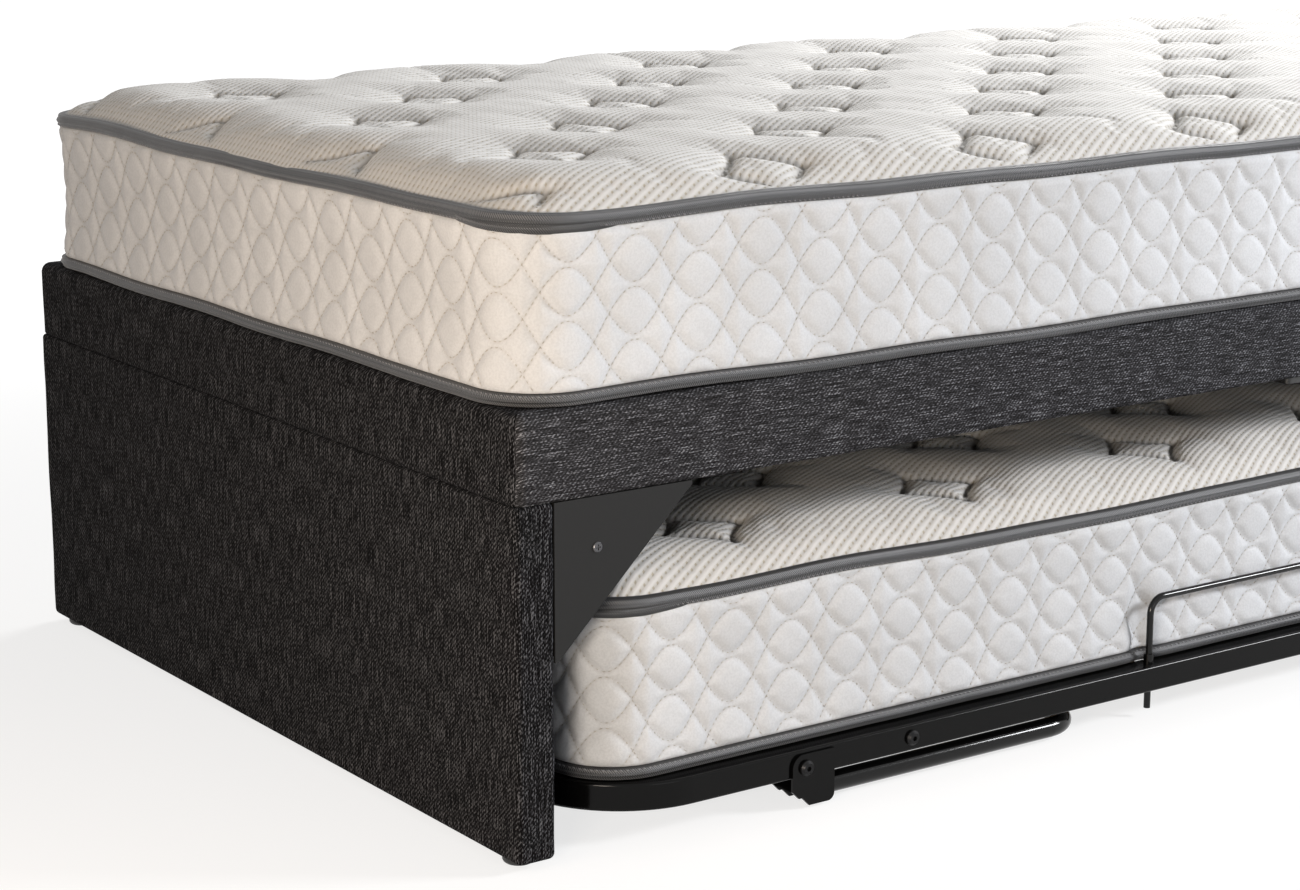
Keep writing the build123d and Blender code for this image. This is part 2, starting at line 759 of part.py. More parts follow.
# Mattress retainers: bent wire that drops through the rail, stopped by a collar on each post
retainer_top = rail_top + retainer_height
retainer_bottom = rail_clearance - retainer_pin_drop
with BuildPart() as front_retainer:
    with BuildLine(Plane.XZ.offset(rail_y)) as wire_line:
        FilletPolyline(
            (-retainer_half_span, retainer_bottom),
            (-retainer_half_span, retainer_top),
            (retainer_half_span, retainer_top),
            (retainer_half_span, retainer_bottom),
            radius=retainer_bend_radius,
        )
    with BuildSketch(Plane(origin=wire_line.line @ 0, z_dir=wire_line.line % 0)):
        Circle(retainer_wire_radius)
    sweep()
    with BuildSketch(Plane.XY.offset(rail_top + seat_gap)):
        with Locations((-retainer_half_span, -rail_y), (retainer_half_span, -rail_y)):
            Circle(retainer_collar_radius)
    extrude(amount=retainer_collar_height)
save(front_retainer.part, "front_retainer")

with BuildPart() as back_retainer:
    mirror(front_retainer.part, about=Plane.XZ)
save(back_retainer.part, "back_retainer")

# Rollers in forks welded to the cross tubes
fork_start = -cross_tube_x + tube_size / 2
fork_width = 2 * (fork_thickness + wheel_side_gap) + wheel_width
fork_top = 2 * wheel_radius + wheel_top_gap + fork_thickness
fork_bottom = wheel_radius - fork_below_axle
wheel_x = fork_start + fork_width / 2

with BuildPart() as wheel_fork:
    with BuildSketch(Plane.XZ.offset(wheel_y + fork_half_width)):
        with Locations((wheel_x, (fork_top + fork_bottom) / 2)):
            Rectangle(fork_width, fork_top - fork_bottom)
        with Locations((wheel_x, (fork_top + fork_bottom) / 2 - fork_thickness)):
            Rectangle(fork_width - 2 * fork_thickness, fork_top - fork_bottom, mode=Mode.SUBTRACT)
    extrude(amount=-2 * fork_half_width)
    with Locations(along(wheel_x, -wheel_y, wheel_radius)):
        Cylinder(axle_radius + running_clearance, 2 * fork_width, mode=Mode.SUBTRACT)
save(in_four_corners(wheel_fork.part), "wheel_forks")

with BuildPart() as wheel_axle:
    with Locations(along(wheel_x, -wheel_y, wheel_radius)):
        Cylinder(axle_radius, fork_width + 2 * axle_head_height)
    head_offset = (fork_width + axle_head_height) / 2
    with Locations(
        along(wheel_x - head_offset, -wheel_y, wheel_radius),
        along(wheel_x + head_offset, -wheel_y, wheel_radius),
    ):
        Cylinder(axle_head_radius, axle_head_height)
save(in_four_corners(wheel_axle.part), "wheel_axles")

with BuildPart() as wheel:
    with Locations(along(wheel_x, -wheel_y, wheel_radius)):
        Cylinder(wheel_radius, wheel_width)
    chamfer(wheel.edges().filter_by(GeomType.CIRCLE), length=wheel_round)
    recess_offset = (wheel_width - wheel_recess_depth) / 2
    with Locations(
        along(wheel_x - recess_offset, -wheel_y, wheel_radius),
        along(wheel_x + recess_offset, -wheel_y, wheel_radius),
    ):
        Cylinder(wheel_recess_radius, wheel_recess_depth, mode=Mode.SUBTRACT)
        Cylinder(axle_radius + wheel_recess_depth, wheel_recess_depth)
    with Locations(along(wheel_x, -wheel_y, wheel_radius)):
        Cylinder(axle_radius + running_clearance, 2 * wheel_width, mode=Mode.SUBTRACT)

for end, side in corners:
    save(place_in_corner(wheel.part, end == "head", side == "back"), f"wheel_{end}_{side}")
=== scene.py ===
import math

import bpy
import numpy as np
from mathutils import Matrix, Vector


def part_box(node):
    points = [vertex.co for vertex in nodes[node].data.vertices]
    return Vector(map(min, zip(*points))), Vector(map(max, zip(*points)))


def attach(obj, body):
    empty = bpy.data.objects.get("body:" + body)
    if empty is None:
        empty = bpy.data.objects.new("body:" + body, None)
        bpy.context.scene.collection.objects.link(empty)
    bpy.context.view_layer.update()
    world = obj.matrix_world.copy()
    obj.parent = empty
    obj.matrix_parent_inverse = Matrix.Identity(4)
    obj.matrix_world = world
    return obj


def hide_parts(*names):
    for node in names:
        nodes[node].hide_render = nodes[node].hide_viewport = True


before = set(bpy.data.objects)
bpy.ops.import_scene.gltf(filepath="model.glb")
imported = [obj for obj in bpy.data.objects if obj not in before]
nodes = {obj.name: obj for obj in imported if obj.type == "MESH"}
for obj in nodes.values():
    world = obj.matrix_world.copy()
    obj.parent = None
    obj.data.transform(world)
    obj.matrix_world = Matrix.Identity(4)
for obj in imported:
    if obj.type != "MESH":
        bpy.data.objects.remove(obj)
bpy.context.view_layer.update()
scene = bpy.context.scene
fullTurn = 2 * math.pi
times, timesPlus, larger = {"operation": "MULTIPLY"}, {"operation": "MULTIPLY_ADD"}, {"operation": "MAXIMUM"}
scaled, softStep = {"operation": "SCALE"}, {"interpolation_type": "SMOOTHSTEP"}
print("frame loaded with", len(nodes), "nodes")


def linear(hexColour):
    parts = [int(hexColour[i:i + 2], 16) / 255 for i in (1, 3, 5)]
    return [c / 12.92 if c <= 0.04045 else ((c + 0.055) / 1.055) ** 2.4 for c in parts] + [1.0]


def addNode(tree, kind, settings=None, inputs=None, stops=()):
    # a kind without the word Node is a shader node, and a node given as an input stands for its first output
    node = tree.nodes.new(kind if "Node" in kind else "ShaderNode" + kind)
    for name, value in (settings or {}).items():
        setattr(node, name, value)
    for name, value in (inputs or {}).items():
        if isinstance(value, bpy.types.Node):
            value = value.outputs[0]
        if isinstance(value, bpy.types.NodeSocket):
            tree.links.new(value, node.inputs[name])
        else:
            node.inputs[name].default_value = value
    if stops:  # places and colours of a colour ramp
        elements = node.color_ramp.elements
        while len(elements) < len(stops):
            elements.new(0.5)
        for element, (place, colour) in zip(elements, stops):
            element.position, element.color = place, linear(colour)
    return node


def startMaterial(name, **constants):
    material = bpy.data.materials.new(name)
    material.use_nodes = True
    tree = material.node_tree
    tree.nodes.clear()
    values = {label.replace("_", " "): value for label, value in constants.items()}
    shader = addNode(tree, "BsdfPrincipled", inputs=values)
    addNode(tree, "OutputMaterial", inputs={"Surface": shader})
    return material, tree, shader


def finishMaterial(tree, shader, colour, height, strength, depth):
    # the colour, and a relief of a depth in millimetres
    relief = addNode(tree, "Bump", inputs={"Strength": strength, "Distance": depth / 1000, "Height": height})
    tree.links.new(colour, shader.inputs["Base Color"])
    tree.links.new(relief.outputs[0], shader.inputs["Normal"])


def makePiece(name, points, faces, material, uv=None, tone=None):
    mesh = bpy.data.meshes.new(name)
    mesh.from_pydata(points, [], faces)
    mesh.materials.append(material)
    mesh.polygons.foreach_set("use_smooth", [True] * len(mesh.polygons))
    if uv is not None:
        corner = np.zeros(len(mesh.loops), np.int32)
        mesh.loops.foreach_get("vertex_index", corner)
        layer = mesh.uv_layers.new(name="cloth")
        flat = uv[corner] if len(uv) == len(points) else uv
        layer.data.foreach_set("uv", np.asarray(flat, np.float32).ravel())
    if tone is not None:
        values = mesh.attributes.new("tone", "FLOAT", "POINT").data
        values.foreach_set("value", tone.astype(np.float32))
    mesh.update()
    piece = bpy.data.objects.new(name, mesh)
    scene.collection.objects.link(piece)
    return piece


def placePiece(piece, body, slot, node=None, fill=None):
    if node:
        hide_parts(node)
    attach(piece, body)


def gridFaces(across, along, wrapAcross=False, wrapAlong=False):
    # quads between rows of points, index = row * along + column
    rows = np.arange(across if wrapAcross else across - 1)
    columns = np.arange(along if wrapAlong else along - 1)
    r, c = np.meshgrid(rows, columns, indexing="ij")
    r2, c2 = (r + 1) % across, (c + 1) % along
    return np.stack([r * along + c, r * along + c2, r2 * along + c2, r2 * along + c], -1).reshape(-1, 4)


def outlineRuns(length, width, radius):
    # straight runs and corner arcs in turn, from the middle of the front side towards the head end
    a, b, arc = length / 2 - radius, width / 2 - radius, math.pi * radius / 2
    return a, b, [a, arc, 2 * b, arc, 2 * a, arc, 2 * b, arc, a]


def roundedOutline(length, width, radius, station):
    # places and outward directions round a rounded rectangle
    a, b, runs = outlineRuns(length, width, radius)
    ends = np.cumsum(runs)
    s = np.mod(station, ends[-1])
    leg = np.minimum(np.searchsorted(ends, s, side="right"), 8)
    t = s - np.concatenate([[0], ends])[leg]
    turn = np.array([0, 0, 1, 1, 2, 2, 3, 3, 4])[leg] * math.pi / 2 - math.pi / 2
    arc = leg % 2 == 1
    angle = turn + np.where(arc, t / radius, 0)
    normal = np.stack([np.cos(angle), np.sin(angle)], -1)
    starts = [[0, -b], [a, -b], [a, -b], [a, b], [a, b], [-a, b], [-a, b], [-a, -b], [-a, -b]]
    straight = np.stack([-np.sin(angle), np.cos(angle)], -1) * np.where(arc, 0, t)[:, None]
    return np.array(starts)[leg] + normal * radius + straight, normal


def outlineLength(length, width, radius):
    return 2 * (length + width) - 8 * radius + fullTurn * radius


def insideDistance(x, y, length, width, radius):
    qx, qy = np.abs(x) - length / 2 + radius, np.abs(y) - width / 2 + radius
    return radius - np.hypot(np.maximum(qx, 0), np.maximum(qy, 0)) - np.minimum(np.maximum(qx, qy), 0)


def softWaves(seed, x, y, shortest, longest, count=14):
    # a gentle uneven surface made of plane waves, about -1 to 1
    draw = np.random.default_rng(seed)
    total = np.zeros_like(x)
    for k in range(count):
        span = shortest * (longest / shortest) ** draw.random()
        angle = draw.random() * fullTurn
        total += np.sin(fullTurn * (x * math.cos(angle) + y * math.sin(angle)) / span + draw.random() * 6.28)
    return total / math.sqrt(count / 2) / 2


def smoothStep(low, high, value):
    t = np.clip((value - low) / (high - low), 0, 1)
    return t * t * (3 - 2 * t)


# camera, from the photograph's vanishing lines
cameraPlace = {"location": (-2.1798, -2.3965, 0.8962), "lens": 81.86, "sensor": 36.0, "reach": 60,
               "right": (0.8170, -0.5767, 0.0), "up": (0.1299, 0.1841, 0.9743)}
camera = bpy.data.objects.new("camera", bpy.data.cameras.new("camera"))
scene.collection.objects.link(camera)
right, up = Vector(cameraPlace["right"]).normalized(), Vector(cameraPlace["up"]).normalized()
axes = Matrix((right, up, right.cross(up))).transposed().to_4x4()
camera.matrix_world = Matrix.Translation(cameraPlace["location"]) @ axes
camera.data.lens = cameraPlace["lens"]
camera.data.sensor_width = cameraPlace["sensor"]
camera.data.clip_end = cameraPlace["reach"]
scene.camera = camera
scene.view_settings.view_transform = "Standard"

# floor, world and lamps
studio = {"floorHalf": 15.0, "floorGlow": 0.74, "glowFrom": 1.1, "glowTo": 3.2, "floorColour": "#9C9C9C",
          "worldLevel": 0.24}
lamps = [  # name, place, aim, width, height, watts, colour
    ("keyLamp", (2.06, -2.20, 1.54), (0.2, -0.4, 0.3), 0.85, 0.6, 98, "#FBFCFF"),
    ("fillLamp", (-0.5, -3.0, 0.72), (-0.6, -0.4, 0.22), 1.2, 0.8, 5.2, "#F8FAFF"),
    ("cornerLamp", (-2.00, -1.40, 0.42), (-0.90, -0.40, 0.27), 0.40, 0.35, 15, "#FFF0DE"),
    ("topLamp", (2.24, 1.50, 1.82), (0.0, 0.0, 0.5), 1.5, 1.1, 80, "#FFFFFF"),
    ("endLamp", (-2.15, -0.64, 0.64), (-0.95, -0.33, 0.33), 0.8, 0.6, 5.8, "#FFE2C4"),
]


def seenRays(tree):
    # 1 where the camera, a mirror or glass looks at a surface
    rays = addNode(tree, "LightPath")
    mirrored = addNode(tree, "Math", larger,
                       {0: rays.outputs["Is Glossy Ray"], 1: rays.outputs["Is Transmission Ray"]})
    return addNode(tree, "Math", larger, {0: rays.outputs["Is Camera Ray"], 1: mirrored})


floorMesh = bpy.data.meshes.new("studioFloor")
half = studio["floorHalf"]
floorMesh.from_pydata([(-half, -half, 0), (half, -half, 0), (half, half, 0), (-half, half, 0)], [], [(0, 1, 2, 3)])
floor = bpy.data.objects.new("studioFloor", floorMesh)
scene.collection.objects.link(floor)
# white studio paper: it is lifted to white only where the camera or a mirror sees it, and still takes the shadow
paper = bpy.data.materials.new("studioPaper")
paper.use_nodes = True
tree = paper.node_tree
tree.nodes.clear()
matt = addNode(tree, "BsdfDiffuse", inputs={"Color": linear(studio["floorColour"])})
spot = addNode(tree, "TexCoord")
away = addNode(tree, "VectorMath", {"operation": "LENGTH"}, {0: spot.outputs["Object"]})
rise = addNode(tree, "MapRange", softStep,
               {"Value": away.outputs["Value"], "From Min": studio["glowFrom"], "From Max": studio["glowTo"],
                "To Min": studio["floorGlow"], "To Max": 1.0})
level = addNode(tree, "Math", times, {0: seenRays(tree), 1: rise})
glow = addNode(tree, "Emission", inputs={"Strength": level})
both = addNode(tree, "AddShader", inputs={0: matt, 1: glow})
addNode(tree, "OutputMaterial", inputs={"Surface": both})
floorMesh.materials.append(paper)

world = bpy.data.worlds.new("studio")
world.use_nodes = True
scene.world = world
tree = world.node_tree
tree.nodes.clear()
soft = addNode(tree, "Background", inputs={"Color": (1, 1, 1, 1), "Strength": studio["worldLevel"]})
white = addNode(tree, "Background", inputs={"Color": (1, 1, 1, 1), "Strength": 1.0})
choose = addNode(tree, "MixShader", inputs={0: seenRays(tree), 1: soft, 2: white})
addNode(tree, "OutputWorld", inputs={"Surface": choose})

for name, place, aim, width, height, watts, colour in lamps:
    lamp = bpy.data.objects.new(name, bpy.data.lights.new(name, "AREA"))
    lamp.data.shape = "RECTANGLE"
    lamp.data.size, lamp.data.size_y, lamp.data.energy = width, height, watts
    lamp.data.color = linear(colour)[:3]
    lamp.location = place
    lamp.visible_camera = False
    lamp.rotation_euler = (Vector(aim) - Vector(place)).to_track_quat("-Z", "Y").to_euler()
    scene.collection.objects.link(lamp)
print("camera, floor and", len(lamps), "lamps set")

# materials, with all their sizes in millimetres; a wave texture at scale 1 has a band every 314 mm
waveBand = 314
flatNoise = {"noise_dimensions": "2D"}
bands = {"wave_type": "BANDS", "bands_direction": "X"}
number, colours = {"data_type": "FLOAT"}, {"data_type": "RGBA"}


def perMetre(*sizes):
    # how often a pattern repeats in a metre, from its sizes in millimetres
    return tuple(1000 / size for size in sizes) + (1,) * (3 - len(sizes))


def charcoalCloth():
    # woven polyester in two greys: broken streaks along the yarn, about 1 by 26 mm, under pale flecks of 1 by 3 mm and
    # a diagonal twill, and painted paler on the long sides, a painted sheen for the light the lengthwise yarn throws
    # back;
    # the twill's rows are about 1.9 mm apart on the real cloth and are drawn 2.9 mm apart, so that they show
    weave = {"streak": (1.0526, 26.316), "fleck": (1.1111, 2.9412), "fleckLean": 0.2, "rowPitch": 2.9,
             "rowLean": 0.8, "rowShare": 0.18, "fleckShare": 0.58, "evenLong": 0.4, "paintedSheenLift": 2.0, "depth": 1.2}
    material, tree, shader = startMaterial("charcoalCloth", Roughness=0.95, Specular_IOR_Level=0.03)
    yarn = addNode(tree, "UVMap", {"uv_map": "cloth"})
    lengthwise = addNode(tree, "Attribute", {"attribute_name": "tone"}).outputs["Fac"]
    streakPlace = addNode(tree, "Mapping", inputs={"Vector": yarn, "Scale": perMetre(*weave["streak"])})
    fleckPlace = addNode(tree, "Mapping", inputs={"Vector": yarn, "Rotation": (0, 0, weave["fleckLean"]),
                                                  "Scale": perMetre(*weave["fleck"])})
    rowPlace = addNode(tree, "Mapping", inputs={"Vector": yarn, "Rotation": (0, 0, weave["rowLean"])})
    fine = {"Scale": 1.0, "Detail": 1.0, "Roughness": 0.4}
    streaks = addNode(tree, "TexNoise", flatNoise, {"Vector": streakPlace, **fine})
    flecks = addNode(tree, "TexNoise", flatNoise, {"Vector": fleckPlace, **fine})
    rows = addNode(tree, "TexWave", bands, {"Vector": rowPlace, "Scale": waveBand / weave["rowPitch"],
                                            "Distortion": 0.6, "Detail": 1.0})
    twill = addNode(tree, "Mix", number, {0: weave["rowShare"], 2: flecks, 3: rows.outputs[1]})
    woven = addNode(tree, "Mix", number, {0: weave["fleckShare"], 2: streaks, 3: twill})
    # the long sides' weave is painted evener, as part of the same painted sheen
    evener = addNode(tree, "Math", times, {0: lengthwise, 1: weave["evenLong"]})
    shown = addNode(tree, "Mix", number, {0: evener, 2: woven, 3: 0.5})
    tone = addNode(tree, "ValToRGB", inputs={0: shown},
                   stops=[(0.34, "#080808"), (0.46, "#151516"), (0.54, "#222224"), (0.67, "#606165")])
    # painted sheen: the long sides are painted up to three times paler, for the light the lengthwise yarn throws back
    lift = addNode(tree, "Math", timesPlus, {0: lengthwise, 1: weave["paintedSheenLift"], 2: 1.0})
    paler = addNode(tree, "VectorMath", scaled, {0: tone, "Scale": lift})
    finishMaterial(tree, shader, paler.outputs[0], woven, 0.6, weave["depth"])
    return material


def borderKnit():
    # ivory stretch knit quilted over foam: a fine pebbled loop surface of about 2 mm, with faint patches of 70 mm, and
    # painted shade down in the stitched grooves
    knitted = {"loop": 2.0833, "patch": 71.43, "depth": 0.6}
    material, tree, shader = startMaterial("borderKnit", Roughness=0.88, Sheen_Weight=0.15)
    place = addNode(tree, "TexCoord").outputs["Object"]
    groove = addNode(tree, "Attribute", {"attribute_name": "tone"}).outputs["Fac"]
    loops = addNode(tree, "TexNoise", inputs={"Vector": place, "Scale": 1000 / knitted["loop"], "Detail": 2.0,
                                              "Roughness": 0.6})
    patches = addNode(tree, "TexNoise", inputs={"Vector": place, "Scale": 1000 / knitted["patch"], "Detail": 3.0})
    pale = addNode(tree, "ValToRGB", inputs={0: loops}, stops=[(0.36, "#D0D2D5"), (0.62, "#D9DBDE")])
    patched = addNode(tree, "ValToRGB", inputs={0: patches}, stops=[(0.35, "#F6F6F6"), (0.65, "#FFFFFF")])
    body = addNode(tree, "Mix", {**colours, "blend_type": "MULTIPLY"}, {0: 1.0, 6: pale, 7: patched})
    # painted shade: the knit is darkened towards #B1AFAC along the stitch lines, by the tone attribute
    deep = addNode(tree, "Mix", colours, {0: groove, 6: body.outputs[2], 7: linear("#B1AFAC")})
    finishMaterial(tree, shader, deep.outputs[2], loops, 0.35, knitted["depth"])
    return material


def ribbedTicking():
    # thick knitted ticking: ribs 6.5 mm apart on a slant, with a row of small punched dots 6.7 mm apart in each valley,
    # and shade in the creases of the tufts
    ribs = {"pitch": 6.5, "slant": math.radians(27.7), "dotPitch": 6.7, "wander": 2.0, "wanderSpan": 111.11,
            "depth": 0.8}
    material, tree, shader = startMaterial("ribbedTicking", Roughness=0.85, Sheen_Weight=0.2)
    flat = addNode(tree, "UVMap", {"uv_map": "cloth"})
    crease = addNode(tree, "Attribute", {"attribute_name": "tone"}).outputs["Fac"]
    wander = addNode(tree, "TexNoise", flatNoise, {"Vector": flat, "Scale": 1000 / ribs["wanderSpan"], "Detail": 2.0})
    shift = addNode(tree, "VectorMath", timesPlus,
                    {0: wander.outputs["Color"], 1: (ribs["wander"] / 1000, ribs["wander"] / 1000, 0), 2: flat})
    turned = addNode(tree, "VectorRotate", {"rotation_type": "Z_AXIS"}, {"Vector": shift, "Angle": -ribs["slant"]})
    across = addNode(tree, "SeparateXYZ", inputs={0: turned}).outputs[1]
    column = addNode(tree, "SeparateXYZ", inputs={0: shift}).outputs[0]
    ribTurn = addNode(tree, "Math", times, {0: across, 1: 1000 * fullTurn / ribs["pitch"]})
    ribWave = addNode(tree, "Math", {"operation": "COSINE"}, {0: ribTurn})
    rib = addNode(tree, "Math", timesPlus, {0: ribWave, 1: 0.5, 2: 0.5})
    dotTurn = addNode(tree, "Math", times, {0: column, 1: 1000 * fullTurn / ribs["dotPitch"]})
    dotWave = addNode(tree, "Math", {"operation": "COSINE"}, {0: dotTurn})
    valley = addNode(tree, "MapRange", softStep, {"Value": rib, "From Min": 0.30, "From Max": 0.04})
    along = addNode(tree, "MapRange", softStep, {"Value": dotWave, "From Min": 0.1, "From Max": 0.8})
    dot = addNode(tree, "Math", times, {0: valley, 1: along})
    # painted shade: the ribs' valleys are painted darker than their crests
    ribTone = addNode(tree, "ValToRGB", inputs={0: rib}, stops=[(0.0, "#CFCCC6"), (0.75, "#E3E1DE")])
    dotted = addNode(tree, "Mix", colours, {0: dot, 6: ribTone, 7: linear("#BBB2A2")})
    shaded = addNode(tree, "Mix", colours, {0: crease, 6: dotted.outputs[2], 7: linear("#7E766A")})
    height = addNode(tree, "Math", timesPlus, {0: dot, 1: -0.7, 2: rib})
    finishMaterial(tree, shader, shaded.outputs[2], height, 0.6, ribs["depth"])
    return material


tapeGirth = 0.043  # length of the tape's section, all round, in metres


def tapeWeave():
    # grey woven edge tape: lengthwise bands about 4 mm wide under a slanted twill, a dull sheen, and painted shade
    # where it tucks under; the twill's rows are about 1 mm apart on a real tape and are drawn 1.6 mm apart, so that
    # they show
    weave = {"band": (500, 3.7037), "twillPitch": 1.6, "twillLean": 0.6, "twillShare": 0.35, "depth": 0.6}
    material, tree, shader = startMaterial("tapeWeave", Roughness=0.55, Sheen_Weight=0.12, Sheen_Roughness=0.4)
    strip = addNode(tree, "UVMap", {"uv_map": "tape"})
    bandPlace = addNode(tree, "Mapping", inputs={"Vector": strip, "Scale": perMetre(*weave["band"])})
    banded = addNode(tree, "TexNoise", flatNoise, {"Vector": bandPlace, "Scale": 1.0, "Detail": 2.0})
    slant = addNode(tree, "Mapping", inputs={"Vector": strip, "Rotation": (0, 0, weave["twillLean"])})
    twill = addNode(tree, "TexWave", bands, {"Vector": slant, "Scale": waveBand / weave["twillPitch"],
                                             "Distortion": 0.6})
    woven = addNode(tree, "Mix", number, {0: weave["twillShare"], 2: banded, 3: twill.outputs[1]})
    tone = addNode(tree, "ValToRGB", inputs={0: woven},
                   stops=[(0.38, "#121314"), (0.5, "#303133"), (0.62, "#68696C")])
    # painted shade: the tape is darkened towards #1C1C1E round the sides of its section, where it tucks under
    around = addNode(tree, "SeparateXYZ", inputs={0: strip}).outputs[1]
    turn = addNode(tree, "Math", times, {0: around, 1: fullTurn / tapeGirth})
    side = addNode(tree, "Math", {"operation": "SINE"}, {0: turn})
    tucked = addNode(tree, "Math", {"operation": "ABSOLUTE"}, {0: side})
    edge = addNode(tree, "MapRange", softStep, {"Value": tucked, "From Min": 0.72, "From Max": 0.96, "To Max": 0.75})
    body = addNode(tree, "Mix", colours, {0: edge, 6: tone, 7: linear("#1C1C1E")})
    finishMaterial(tree, shader, body.outputs[2], woven, 0.5, weave["depth"])
    return material


def grainedFinish(name, dark, light, grain, depth, **constants):
    # one grain size gives the colour variation, the relief and some unevenness in the gloss
    material, tree, shader = startMaterial(name, **constants)
    place = addNode(tree, "TexCoord").outputs["Object"]
    speckle = addNode(tree, "TexNoise", inputs={"Vector": place, "Scale": 1000 / grain, "Detail": 3.0})
    tone = addNode(tree, "ValToRGB", inputs={0: speckle}, stops=[(0.35, dark), (0.65, light)])
    gloss = constants["Roughness"]
    rough = addNode(tree, "MapRange", inputs={"Value": speckle, "From Min": 0.3, "From Max": 0.7,
                                              "To Min": gloss * 0.9, "To Max": gloss * 1.12})
    tree.links.new(rough.outputs[0], shader.inputs["Roughness"])
    finishMaterial(tree, shader, tone.outputs[0], speckle, 0.3, depth)
    return material


def sawnPine(name, along):
    # sawn pine: growth rings about 18 mm wide, drawn out along the board, with the grain's fine pores
    ringWidth, ringRun = 18.382, 284.09
    material, tree, shader = startMaterial(name, Roughness=0.7)
    place = addNode(tree, "TexCoord").outputs["Object"]
    sizes = perMetre(*[ringRun if axis == along else ringWidth for axis in "XYZ"])
    drawn = addNode(tree, "Mapping", inputs={"Vector": place, "Scale": sizes})
    rings = addNode(tree, "TexNoise", inputs={"Vector": drawn, "Scale": 1.0, "Detail": 5.0, "Roughness": 0.55,
                                              "Distortion": 0.8})
    tone = addNode(tree, "ValToRGB", inputs={0: rings},
                   stops=[(0.36, "#A67C4C"), (0.5, "#CFA873"), (0.66, "#E2C597")])
    finishMaterial(tree, shader, tone.outputs[0], rings, 0.25, 0.8)
    return material


cloth, knit, ticking, tape = charcoalCloth(), borderKnit(), ribbedTicking(), tapeWeave()
# polyester quilting thread, a little darker than the knit: painted shade for where it lies down in the groove
quiltThread = grainedFinish("quiltThread", "#A9A49D", "#BBB6AF", 0.8, 0.1, Roughness=0.7)
# the tufting thread pulls down to the bottom of a deep crease, and its colour is painted darker there with the crease's
# shade
tuftThread = grainedFinish("tuftThread", "#6E675D", "#857D72", 0.8, 0.1, Roughness=0.7)
# grey seaming thread of the tape's stitch row, a little paler than the tape
tapeThread = grainedFinish("tapeThread", "#77777A", "#8E8E91", 0.8, 0.1, Roughness=0.6)
# gloss black powder coat on steel, with a slight orange peel
blackCoat = grainedFinish("blackPowderCoat", "#050505", "#080808", 2.2, 0.03, Roughness=0.14, Specular_IOR_Level=0.15)
# the same coat on the round tubes and hoops, where it flows smoother and throws a sharper light back
smoothCoat = grainedFinish("smoothBlackCoat", "#050505", "#080808", 2.2, 0.02, Roughness=0.1, Specular_IOR_Level=0.3)
# satin dark grey paint on the gussets and on the corner blocks behind them
gussetPaint = grainedFinish("greyGussetPaint", "#181818", "#1C1C1C", 1.6, 0.03, Roughness=0.5, Specular_IOR_Level=0.25)
# blackened steel bolts: a dark dull metal
blackSteel = grainedFinish("blackenedSteel", "#1B1B1C", "#2A2A2B", 0.7, 0.05, Roughness=0.34, Metallic=0.8)
# phosphated steel screws: a flat mid grey with a little metal showing
greySteel = grainedFinish("phosphatedSteel", "#4C4C4E", "#666669", 0.7, 0.05, Roughness=0.34, Metallic=0.8)
# zinc plate on steel: pale and slightly clouded
zinc = grainedFinish("zincPlate", "#A9ADB0", "#C6C9CB", 0.9, 0.04, Roughness=0.34, Metallic=1.0)
# moulded black polypropylene glides and blocks, with a fine moulded grain
blackPlastic = grainedFinish("mouldedBlackPlastic", "#101010", "#1A1A1A", 0.6, 0.1, Roughness=0.45)
# moulded nylon rollers: a dark grey, dulled where they run
nylon = grainedFinish("rollerNylon", "#2B2B2C", "#3A3A3B", 1.2, 0.12, Roughness=0.48)
# black bonded-fibre dust cloth, with a pressed pebble
dustCloth = grainedFinish("bondedDustCloth", "#121212", "#222222", 1.4, 0.5, Roughness=0.95)
# bonded felt pad under the deck cloth: a dull fawn with clumps of fibre
felt = grainedFinish("feltPad", "#8F8A80", "#B0AA9E", 2.5, 0.8, Roughness=0.95)
pineLength, pineAcross = sawnPine("sawnPineLengthwise", "X"), sawnPine("sawnPineCrosswise", "Y")

corners = ["foot_front", "foot_back", "head_front", "head_back"]
finishes = [
    (blackCoat, ["trundle_foot_bow", "trundle_head_bow", "trundle_front_rail", "trundle_back_rail", "cross_tube_foot",
                 "cross_tube_head", "slat_ledges", "foot_leg_brackets", "head_leg_brackets"]),
    (smoothCoat, ["foot_leg_tube", "head_leg_tube", "front_retainer", "back_retainer"]),
    (zinc, ["rail_joiners", "leg_pivot_nuts", "wheel_forks", "wheel_axles", "panel_bolts"]),
    (blackSteel, ["cross_tube_bolts", "leg_pivot_bolts"]),
    (greySteel, ["gusset_screws"]),
    (gussetPaint, [kind + corner for kind in ("gusset_", "corner_block_") for corner in corners]),
    (blackPlastic, ["foot_panel_glides", "head_panel_glides", "underside_blocks"]),
    (nylon, ["wheel_" + corner for corner in corners]),
    (dustCloth, ["dust_cover"]),
    (felt, ["deck_pad"]),
    (pineLength, ["base_front_rail", "base_back_rail", "base_centre_rail"]),
    (pineAcross, ["base_foot_rail", "base_head_rail", "deck_slats", "trundle_slats", "foot_panel_board",
                  "head_panel_board"]),
]
for material, names in finishes:
    for name in names:
        nodes[name].data.materials.clear()
        nodes[name].data.materials.append(material)
print("materials made for", sum(len(names) for _, names in finishes), "frame nodes")


# geometry node trees: a stitched run along a path, and a tape sewn round an edge
def startTree(name, sizes):
    tree = bpy.data.node_groups.new(name, "GeometryNodeTree")
    tree.interface.new_socket("Geometry", in_out="INPUT", socket_type="NodeSocketGeometry")
    for label, kind in sizes.items():
        tree.interface.new_socket(label, in_out="INPUT", socket_type="NodeSocket" + kind)
    tree.interface.new_socket("Geometry", in_out="OUTPUT", socket_type="NodeSocketGeometry")
    given = addNode(tree, "NodeGroupInput")
    return tree, given.outputs, addNode(tree, "GeometryNodeMeshToCurve", inputs={"Mesh": given})


